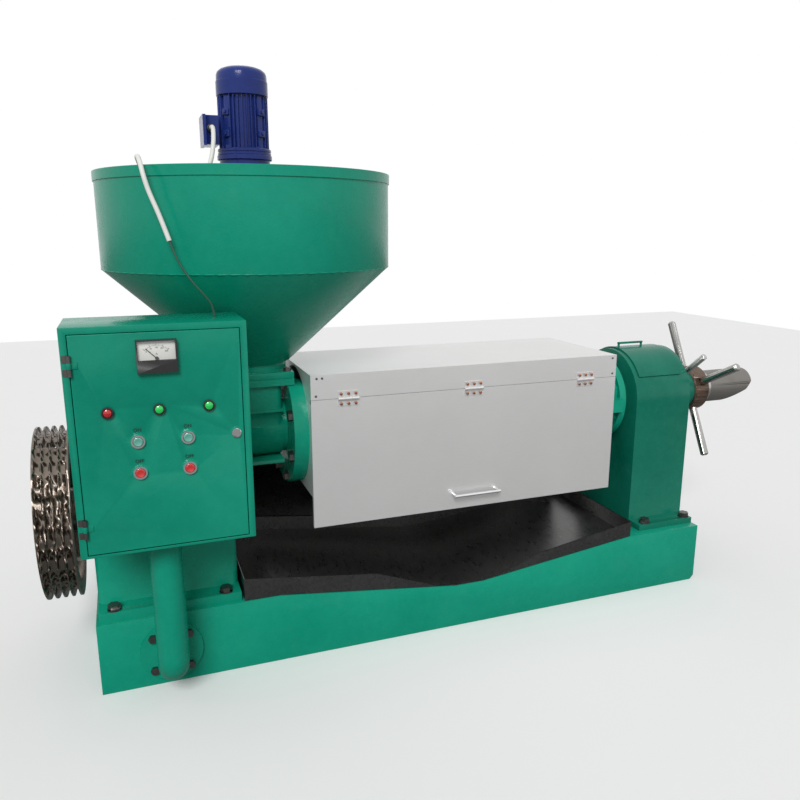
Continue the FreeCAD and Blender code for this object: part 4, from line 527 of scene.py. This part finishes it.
def turned_piece(name, outline, centre, axis, finish, body, steps=SPIN_STEPS):
    """Spins a half outline, given as (along, radius) pairs, round an axis through centre."""
    along = Vector({"X": (1, 0, 0), "Y": (0, 1, 0), "Z": (0, 0, 1)}[axis])
    outward = Vector({"X": (0, 0, 1), "Y": (0, 0, 1), "Z": (1, 0, 0)}[axis])
    points = [Vector(centre) + along * step + outward * radius for step, radius in outline]
    bpy.ops.object.select_all(action="DESELECT")
    bpy.ops.mesh.primitive_plane_add(size=0.001, location=points[0])
    piece = bpy.context.object
    piece.name = name
    bpy.ops.object.transform_apply(location=True)
    bpy.ops.object.mode_set(mode="EDIT")
    bpy.ops.mesh.select_all(action="SELECT")
    bpy.ops.mesh.merge(type="CENTER")
    for start, end in zip(points, points[1:]):
        bpy.ops.mesh.extrude_region_move(TRANSFORM_OT_translate={"value": end - start})
    bpy.ops.mesh.select_all(action="SELECT")
    bpy.ops.mesh.spin(steps=steps, angle=math.tau, center=centre, axis=along)
    bpy.ops.object.mode_set(mode="OBJECT")
    return settle(piece, finish, body)


def block_piece(name, low, high, finish, body, edge=0.001):
    """A bevelled block between two corners."""
    low, high = Vector(low), Vector(high)
    bpy.ops.object.select_all(action="DESELECT")
    bpy.ops.mesh.primitive_cube_add(size=1, location=(low + high) / 2)
    piece = bpy.context.object
    piece.name = name
    piece.scale = high - low
    bpy.ops.object.transform_apply(location=True, rotation=True, scale=True)
    bpy.ops.object.mode_set(mode="EDIT")
    bpy.ops.mesh.select_all(action="SELECT")
    bpy.ops.mesh.bevel(offset=edge, segments=3, affect="EDGES")
    bpy.ops.object.mode_set(mode="OBJECT")
    return settle(piece, finish, body)


def swing(piece, angle, pivot, axis="Z"):
    """Turns a piece's mesh about a pivot, so that its origin stays at zero."""
    pivot = Vector(pivot)
    piece.data.transform(Matrix.Translation(pivot) @ Matrix.Rotation(angle, 4, axis)
                         @ Matrix.Translation(-pivot))
    return piece


def repeated(piece, name, angle, pivot, axis="Z"):
    """A copy with a mesh of its own, turned about a pivot."""
    twin = piece.copy()
    twin.data = piece.data.copy()
    twin.name = name
    scene.collection.objects.link(twin)
    return swing(twin, angle, pivot, axis)


def hex_bolt(name, foot, axis, size, finish, body):
    """A bolt head with a chamfered crown on its washer; axis is the way the head points."""
    bpy.ops.object.select_all(action="DESELECT")
    bpy.ops.mesh.primitive_cylinder_add(vertices=6, radius=size, depth=size * 0.7,
                                        location=(0, 0, size * 0.53))
    piece = bpy.context.object
    bpy.ops.object.transform_apply(location=True)
    bpy.ops.object.mode_set(mode="EDIT")
    bpy.ops.mesh.select_all(action="SELECT")
    bpy.ops.mesh.bevel(offset=size * 0.09, segments=2, affect="EDGES")
    bpy.ops.mesh.primitive_cylinder_add(vertices=28, radius=size * 1.25, depth=size * 0.18,
                                        location=(0, 0, size * 0.09))
    bpy.ops.object.mode_set(mode="OBJECT")
    piece.name = name
    turn = Vector((0, 0, 1)).rotation_difference(Vector(axis)).to_matrix().to_4x4()
    piece.data.transform(Matrix.Translation(foot) @ turn)
    return settle(piece, finish, body, 30)


def merged(pieces, name):
    """Joins pieces of one body and one finish into a single named piece."""
    bpy.ops.object.select_all(action="DESELECT")
    for piece in pieces:
        piece.select_set(True)
    bpy.context.view_layer.objects.active = pieces[0]
    bpy.ops.object.join()
    whole = bpy.context.object
    whole.name = name
    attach(whole, body_name(whole))
    return whole


def corners(node):
    """The two corners of a node's box, as vectors."""
    low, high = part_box(node)
    return Vector(low), Vector(high)


print("helpers ready")

# %% [markdown]
# ## Hopper
# The hopper is rolled sheet: a cone welded to a drum with a flat hoop round the rim. A spun outline gives
# it truly round walls, and thin weld beads mark the seams of cone, drum and neck.

# %% The hopper, spun
low, high = corners("hopper")
HOPPER_AXIS = ((low.x + high.x) / 2, 0.0, low.z)
WALL = 0.003
HOOP = 0.026
rim = high.z - low.z
radius = (high.x - low.x) / 2
drum_radius = radius - 0.003
CONE_TOP, CONE_FOOT, NECK_TOP, PLATE = 0.322, 0.048, 0.042, 0.020
CONE_FOOT_RADIUS, NECK_RADIUS, OUTLET_RADIUS = 0.107, 0.094, 0.046
hopper = turned_piece("hopper_shell", [
    (PLATE, OUTLET_RADIUS), (PLATE, NECK_RADIUS), (NECK_TOP, NECK_RADIUS),
    (CONE_FOOT, CONE_FOOT_RADIUS), (CONE_TOP - 0.001, drum_radius - 0.001),
    (CONE_TOP + 0.001, drum_radius), (rim - HOOP, drum_radius), (rim - HOOP, radius - 0.0006),
    (rim - HOOP + 0.0006, radius), (rim - 0.0008, radius), (rim, radius - 0.0008),
    (rim, drum_radius - WALL + 0.0005), (rim - 0.0005, drum_radius - WALL),
    (CONE_TOP + 0.002, drum_radius - WALL), (CONE_FOOT + WALL, CONE_FOOT_RADIUS - WALL),
    (NECK_TOP + WALL, NECK_RADIUS - WALL), (PLATE + WALL, NECK_RADIUS - WALL),
    (PLATE + WALL, OUTLET_RADIUS), (PLATE, OUTLET_RADIUS)],
    HOPPER_AXIS, "Z", enamel, "frame", 160)
PLATE_HALF = 0.100
plate = block_piece("hopper_foot_plate",
                    (HOPPER_AXIS[0] - PLATE_HALF, -PLATE_HALF, low.z),
                    (HOPPER_AXIS[0] + PLATE_HALF, PLATE_HALF, low.z + PLATE), cast_enamel,
                    "frame", 0.0015)
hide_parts("hopper")
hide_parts("hopper")


def weld_bead(name, at, bead_radius, thickness, finish):
    """A thin ring of weld with its ripples, hugging a seam."""
    bpy.ops.object.select_all(action="DESELECT")
    bpy.ops.mesh.primitive_torus_add(major_radius=bead_radius, minor_radius=thickness,
                                     major_segments=240, minor_segments=8, location=at)
    piece = bpy.context.object
    piece.name = name
    bpy.ops.object.transform_apply(location=True)
    for index, vertex in enumerate(piece.data.vertices):
        ripple = 1 + 0.0012 / bead_radius * math.sin(index / 8 * 2.1) * (index % 2)
        vertex.co.x = at[0] + (vertex.co.x - at[0]) * ripple
        vertex.co.y = at[1] + (vertex.co.y - at[1]) * ripple
    return settle(piece, finish, "frame", 60)


neck_seam = (HOPPER_AXIS[0], 0, low.z + PLATE + 0.001)
weld_bead("hopper_neck_weld", neck_seam, NECK_RADIUS + 0.001, 0.0025, cast_enamel)
cone_seam = (HOPPER_AXIS[0], 0, low.z + CONE_TOP)
weld_bead("hopper_drum_weld", cone_seam, drum_radius - 0.0014, 0.0016, enamel)
block_piece("hopper_hoop_joint", (HOPPER_AXIS[0] - 0.372, -0.1585, high.z - HOOP + 0.001),
            (HOPPER_AXIS[0] - 0.368, -0.1545, high.z - 0.001), bolt_steel, "frame", 0.0005)
print("hopper radius", round(radius, 4))

# %% [markdown]
# ## Stirrer motor
# A small flange motor stands on the beam: two stacked cast flanges held by bolts, a body of upright
# cooling fins with four bolting pads, a pressed cowl with a rounded shoulder and a step, and a wiring box
# with a screwed lid. The fins are one bevelled blade copied round the axis; the cowl is turned.

# %% Motor flanges, fins, cowl and pads
AXIS_X = HOPPER_AXIS[0]
MOTOR_AXIS = (AXIS_X, 0, 0)
motor_low, motor_high = corners("stirrer_motor")
reducer_low, reducer_high = corners("stirrer_gearbox")
cowl_low, cowl_high = corners("fan_cowl")
FLANGE_RADIUS, BODY_RADIUS, FIN_RADIUS, COWL_RADIUS = 0.074, 0.060, 0.069, 0.071
FOOT_RADIUS, REDUCER_RADIUS, FOOT_THICKNESS = 0.098, 0.070, 0.014
reducer_height = reducer_high.z - reducer_low.z
reducer = turned_piece("stirrer_reducer", [
    (0, 0.016), (0, FOOT_RADIUS - 0.001), (0.001, FOOT_RADIUS),
    (FOOT_THICKNESS - 0.002, FOOT_RADIUS), (FOOT_THICKNESS, FOOT_RADIUS - 0.002),
    (FOOT_THICKNESS, REDUCER_RADIUS + 0.003), (FOOT_THICKNESS + 0.003, REDUCER_RADIUS),
    (reducer_height - 0.014, REDUCER_RADIUS), (reducer_height - 0.012, REDUCER_RADIUS + 0.006),
    (reducer_height - 0.001, REDUCER_RADIUS + 0.006), (reducer_height, REDUCER_RADIUS + 0.005),
    (reducer_height, 0.016)], (AXIS_X, 0, reducer_low.z), "Z", motor_enamel, "frame")
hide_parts("stirrer_gearbox")
FLANGE = 0.017
core_height = motor_high.z - motor_low.z
core = turned_piece("motor_core", [
    (0, 0), (0, FLANGE_RADIUS - 0.001), (0.001, FLANGE_RADIUS), (0.006, FLANGE_RADIUS),
    (0.0065, FLANGE_RADIUS - 0.002), (0.009, FLANGE_RADIUS - 0.002), (0.0095, FLANGE_RADIUS),
    (FLANGE - 0.0015, FLANGE_RADIUS), (FLANGE, FLANGE_RADIUS - 0.0015), (FLANGE, BODY_RADIUS),
    (core_height, BODY_RADIUS), (core_height, 0)],
    (AXIS_X, 0, motor_low.z), "Z", motor_enamel, "frame")
FINS = 36
PAD_REACH = 0.2
fin = block_piece("motor_fin", (AXIS_X - 0.0012, -FIN_RADIUS, motor_low.z + FLANGE + 0.001),
                  (AXIS_X + 0.0012, -BODY_RADIUS + 0.002, motor_high.z - 0.002), motor_enamel,
                  "frame", 0.0007)
pads_at = [math.radians(angle) for angle in (38, 128, 218, 308)]
blades = [fin]
for index in range(1, FINS):
    angle = math.tau * index / FINS
    if min(abs((angle - pad + math.pi) % math.tau - math.pi) for pad in pads_at) > PAD_REACH:
        blades.append(repeated(fin, "motor_fin_%d" % index, angle, MOTOR_AXIS))
fins = merged(blades, "motor_fins")
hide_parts("stirrer_motor")
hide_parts("stirrer_motor")
pad_pieces = []
for level in (0.038, 0.094):
    for angle in pads_at:
        strip = block_piece("motor_pad", (AXIS_X - 0.011, -FIN_RADIUS - 0.001,
                                          motor_low.z + FLANGE + level - 0.009),
                            (AXIS_X + 0.011, -BODY_RADIUS + 0.003,
                             motor_low.z + FLANGE + level + 0.009), motor_enamel, "frame", 0.002)
        bolt = hex_bolt("pad_bolt", (AXIS_X, -FIN_RADIUS - 0.0006, motor_low.z + FLANGE + level),
                        (0, -1, 0), 0.0042, motor_enamel, "frame")
        pad_pieces += [swing(strip, angle, MOTOR_AXIS), swing(bolt, angle, MOTOR_AXIS)]
for angle in pads_at:
    band = block_piece("pad_land", (AXIS_X - 0.010, -BODY_RADIUS - 0.004, motor_low.z + FLANGE),
                       (AXIS_X + 0.010, -BODY_RADIUS + 0.004, motor_high.z - 0.002),
                       motor_enamel, "frame", 0.0015)
    pad_pieces.append(swing(band, angle, MOTOR_AXIS))
merged(pad_pieces, "motor_bolting_pads")
cowl_height = cowl_high.z - cowl_low.z
cowl = turned_piece("motor_cowl", [
    (0, 0), (0, COWL_RADIUS - 0.0005), (0.0005, COWL_RADIUS), (cowl_height * 0.50, COWL_RADIUS),
    (cowl_height * 0.52, COWL_RADIUS - 0.0016), (cowl_height * 0.73, COWL_RADIUS - 0.0022),
    (cowl_height * 0.83, COWL_RADIUS * 0.93), (cowl_height * 0.92, COWL_RADIUS * 0.82),
    (cowl_height * 0.98, COWL_RADIUS * 0.66), (cowl_height, COWL_RADIUS * 0.48),
    (cowl_height, COWL_RADIUS * 0.40), (cowl_height - 0.002, COWL_RADIUS * 0.39),
    (cowl_height - 0.002, 0)], (AXIS_X, 0, cowl_low.z), "Z", motor_enamel, "frame")
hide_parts("fan_cowl")
flange_bolts = []
for index in range(8):
    angle = math.tau * (index + 0.5) / 8
    flange_bolts.append(hex_bolt("motor_flange_bolt", (
        AXIS_X + (REDUCER_RADIUS - 0.003) * math.cos(angle),
        (REDUCER_RADIUS - 0.003) * math.sin(angle), motor_low.z + FLANGE - 0.0004), (0, 0, 1),
        0.0042, motor_enamel, "frame"))
    flange_bolts.append(hex_bolt("reducer_foot_bolt", (
        AXIS_X + (FOOT_RADIUS - 0.013) * math.cos(angle), (FOOT_RADIUS - 0.013) * math.sin(angle),
        reducer_low.z + FOOT_THICKNESS - 0.0003), (0, 0, 1), 0.0065, motor_enamel, "frame"))
merged(flange_bolts, "motor_flange_bolts")
box_low, box_high = corners("terminal_box")
lid_screws = [hex_bolt("lid_screw", (box_low.x + 0.0004, y, z), (-1, 0, 0), 0.003, bolt_steel,
                       "frame")
              for y in (box_low.y + 0.010, box_high.y - 0.010)
              for z in (box_low.z + 0.010, box_high.z - 0.010)]
for screw in lid_screws:
    screw.data.transform(Matrix.Translation((0.0022, 0, 0)))
merged(lid_screws, "wiring_box_screws")
print("motor with", len(blades), "fins")

# %% [markdown]
# ## Lamps and push buttons
# Each lamp is a domed coloured lens in a dark ring. A push button has a shallow dished cap in a bright
# ring. Both are turned pieces facing forward, so one outline serves for all of a kind.

# %% Control fittings
LAMP_RADIUS = 0.010
LAMP_PITCH = 0.110
PANEL_FRONT = -0.496
lamp_low, lamp_high = corners("indicator_lamps")
lamp_z = (lamp_low.z + lamp_high.z) / 2
lamp_depth = PANEL_FRONT - lamp_low.y


def facing(outline):
    """Turns an outline given as (forward, radius) into one along +Y."""
    return [(-step, radius) for step, radius in outline]


for index, finish in enumerate((red_lens, green_lens, green_lens)):
    centre = (lamp_low.x + LAMP_RADIUS + LAMP_PITCH * index, PANEL_FRONT, lamp_z)
    lens = turned_piece("lamp_lens_%d" % index, facing([
        (0, LAMP_RADIUS * 0.98), (lamp_depth * 0.45, LAMP_RADIUS * 0.98),
        (lamp_depth * 0.75, LAMP_RADIUS * 0.86), (lamp_depth * 0.93, LAMP_RADIUS * 0.55),
        (lamp_depth, LAMP_RADIUS * 0.2), (lamp_depth, 0)]), centre, "Y", finish,
        "cabinet_door", 40)
    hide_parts("indicator_lamps")
    ring_depth = min(lamp_depth * 0.6, 0.006)
    turned_piece("lamp_ring_%d" % index, facing([
        (0, 0.0135), (ring_depth - 0.001, 0.0135), (ring_depth, 0.0125), (ring_depth, 0.0103),
        (ring_depth - 0.0015, 0.0100), (0, 0.0100)]), centre, "Y", black_plastic,
        "cabinet_door", 40)

for node, finish in (("start_button_left", start_teal), ("start_button_right", start_teal),
                     ("stop_button_left", stop_red), ("stop_button_right", stop_red)):
    low, high = corners(node)
    cap_radius = (high.x - low.x) / 2
    reach = high.y - low.y
    cap = turned_piece(node + "_cap", facing([
        (0, 0), (0, cap_radius - 0.0004), (reach - 0.0022, cap_radius - 0.0004),
        (reach - 0.0005, cap_radius - 0.0013), (reach, cap_radius - 0.0030),
        (reach - 0.0010, cap_radius * 0.5), (reach - 0.0013, 0)]),
        ((low.x + high.x) / 2, high.y, (low.z + high.z) / 2), "Y", finish, node, 48)
    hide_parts(node)
print("lamps stand", round(lamp_depth, 4), "proud of the door")

# %% [markdown]
# ## Ammeter
# The meter has a white scale over a black skirt. Its case stays as built; a white card sits in the recess
# with an arc of ticks and plain numbers, all thin raised shapes. The push buttons get their plain ON and
# OFF legends in the same way.

# %% The meter's scale
meter_low, meter_high = corners("ammeter_case")
METER_WALL = 0.003
SKIRT = 0.028
CARD_FACE = -0.4985
block_piece("ammeter_card",
            (meter_low.x + METER_WALL + 0.0003, CARD_FACE, meter_low.z + SKIRT + 0.0004),
            (meter_high.x - METER_WALL - 0.0003, CARD_FACE + 0.0005,
             meter_high.z - METER_WALL - 0.0003), dial_white, "cabinet_door", 0.0001)
dial_x = (meter_low.x + meter_high.x) / 2
dial_z = meter_low.z + SKIRT - 0.002
ARC_RADIUS = 0.034
ARC_START, ARC_SWEEP = -45, 90
TICKS = 21
marks = []
for index in range(TICKS):
    angle = math.radians(ARC_START + ARC_SWEEP * index / (TICKS - 1))
    long_tick = index % 5 == 0
    reach = 0.0052 if long_tick else 0.0028
    width = 0.00045 if long_tick else 0.00028
    tick = block_piece("tick", (dial_x - width, CARD_FACE - 0.00025, dial_z + ARC_RADIUS),
                       (dial_x + width, CARD_FACE + 0.0001, dial_z + ARC_RADIUS + reach),
                       black_plastic, "cabinet_door", 0.00004)
    marks.append(swing(tick, angle, (dial_x, 0, dial_z), "Y"))
merged(marks, "ammeter_ticks")


def lettering(name, words, at, size, finish, body):
    """Flat words facing forward, as a thin mesh."""
    bpy.ops.object.select_all(action="DESELECT")
    bpy.ops.object.text_add(location=(0, 0, 0))
    piece = bpy.context.object
    piece.data.body = words
    piece.data.size = size
    piece.data.align_x = "CENTER"
    piece.data.align_y = "CENTER"
    piece.data.extrude = 0.00012
    bpy.ops.object.convert(target="MESH")
    piece = bpy.context.object
    piece.name = name
    piece.data.transform(Matrix.Translation(at) @ Matrix.Rotation(math.radians(90), 4, "X"))
    bpy.ops.object.mode_set(mode="EDIT")
    bpy.ops.mesh.select_all(action="SELECT")
    bpy.ops.mesh.remove_doubles(threshold=0.000001)
    bpy.ops.object.mode_set(mode="OBJECT")
    piece.data.materials.clear()
    piece.data.materials.append(finish)
    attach(piece, body)
    return piece


numbers = []
for index, words in enumerate(("0", "50", "100", "150", "200")):
    angle = math.radians(ARC_START + ARC_SWEEP * index / 4)
    reach = ARC_RADIUS - 0.0035
    numbers.append(lettering("scale_number", words, (
        dial_x + reach * math.sin(angle), CARD_FACE - 0.0001, dial_z + reach * math.cos(angle)),
        0.0050, black_plastic, "cabinet_door"))
numbers.append(lettering("scale_unit", "A", (dial_x, CARD_FACE - 0.0001, dial_z + 0.016), 0.007,
                         black_plastic, "cabinet_door"))
merged(numbers, "ammeter_numbers")
LEGEND_HEIGHTS = {"ON": 0.796, "OFF": 0.7225}
LEGEND_COLUMNS = (-0.856, -0.746)
for words, z in LEGEND_HEIGHTS.items():
    for x in LEGEND_COLUMNS:
        lettering("legend_%s_%d" % (words, int(-x * 1000)), words, (x, PANEL_FRONT - 0.0002, z),
                  0.011, black_plastic, "cabinet_door")
print("meter with", TICKS, "ticks and", len(numbers), "plain words")

# %% [markdown]
# ## Screws on the stainless cover
# The cover's hinges and corners are held by small round-headed screws that have rusted to a red brown.
# Every head is the same small turned dome, set in its own place.

# %% Hinge screws and corner screws
HEAD_RADIUS = 0.0042
HEAD_HEIGHT = 0.0026
HEAD_SINK = 0.0032
HINGE_CENTRES = (-0.276, 0.124, 0.524)
HINGE_HEIGHT = 0.7635
SCREW_RISE = 0.0145
upper_face = corners("cover_hinge_leaves")[0].y + HEAD_SINK
lower_face = corners("door_hinge_leaves")[0].y + HEAD_SINK


def round_screw(name, at, finish, body, size=HEAD_RADIUS):
    """A small domed head with a dimple for the driver, facing forward."""
    return turned_piece(name, facing([
        (-0.001, 0), (-0.001, size), (HEAD_HEIGHT * 0.35, size), (HEAD_HEIGHT * 0.8, size * 0.75),
        (HEAD_HEIGHT, size * 0.4), (HEAD_HEIGHT * 0.7, size * 0.25), (HEAD_HEIGHT * 0.7, 0)]),
        at, "Y", finish, body, 20)


upper, lower = [], []
for centre in HINGE_CENTRES:
    for shift in (-0.022, 0.0, 0.022):
        upper.append(round_screw("upper_screw", (centre + shift, upper_face, HINGE_HEIGHT + SCREW_RISE),
                                 rusty_screw, "frame"))
        lower.append(round_screw("lower_screw", (centre + shift, lower_face, HINGE_HEIGHT - SCREW_RISE),
                                 rusty_screw, "cover_door"))
merged(upper, "upper_hinge_screws")
merged(lower, "lower_hinge_screws")
COVER_FRONT = -0.2102
CORNER_PLACES = ((-0.368, 0.826), (-0.352, 0.826), (0.628, 0.826), (-0.371, 0.775), (0.630, 0.775))
corner_screws = [round_screw("corner_screw", (x, COVER_FRONT, z), bolt_steel, "frame", 0.0034)
                 for x, z in CORNER_PLACES]
merged(corner_screws, "corner_screws")
print(len(HINGE_CENTRES), "hinges screwed on,", len(CORNER_PLACES), "corner screws")

# %% [markdown]
# ## Floor
# The floor is a wide pale plane under the press, and it keeps a soft shadow. The camera sees it almost
# white, but bounced light meets a darker floor, so the undersides stay dark.

# %% The floor
FLOOR_SIZE = 14.0
BOUNCED = (0.30, 0.30, 0.30)
bpy.ops.object.select_all(action="DESELECT")
bpy.ops.mesh.primitive_plane_add(size=FLOOR_SIZE, location=(0, 0, -0.0005))
floor = bpy.context.object
floor.name = "studio_floor"
pale = Finish("pale_floor", Roughness=0.9, Specular_IOR_Level=0.1)
speck = pale.noise(2.0, 2.0, 0.5)
lens_rays = Wire(pale.tree, pale.tree.nodes.new("ShaderNodeLightPath").outputs["Is Camera Ray"])
seen_white = pale.mixed(speck, (0.955, 0.955, 0.955), (0.97, 0.97, 0.97))
floor.data.materials.append(pale.set(
    Base_Color=pale.mixed(lens_rays, BOUNCED, seen_white)))
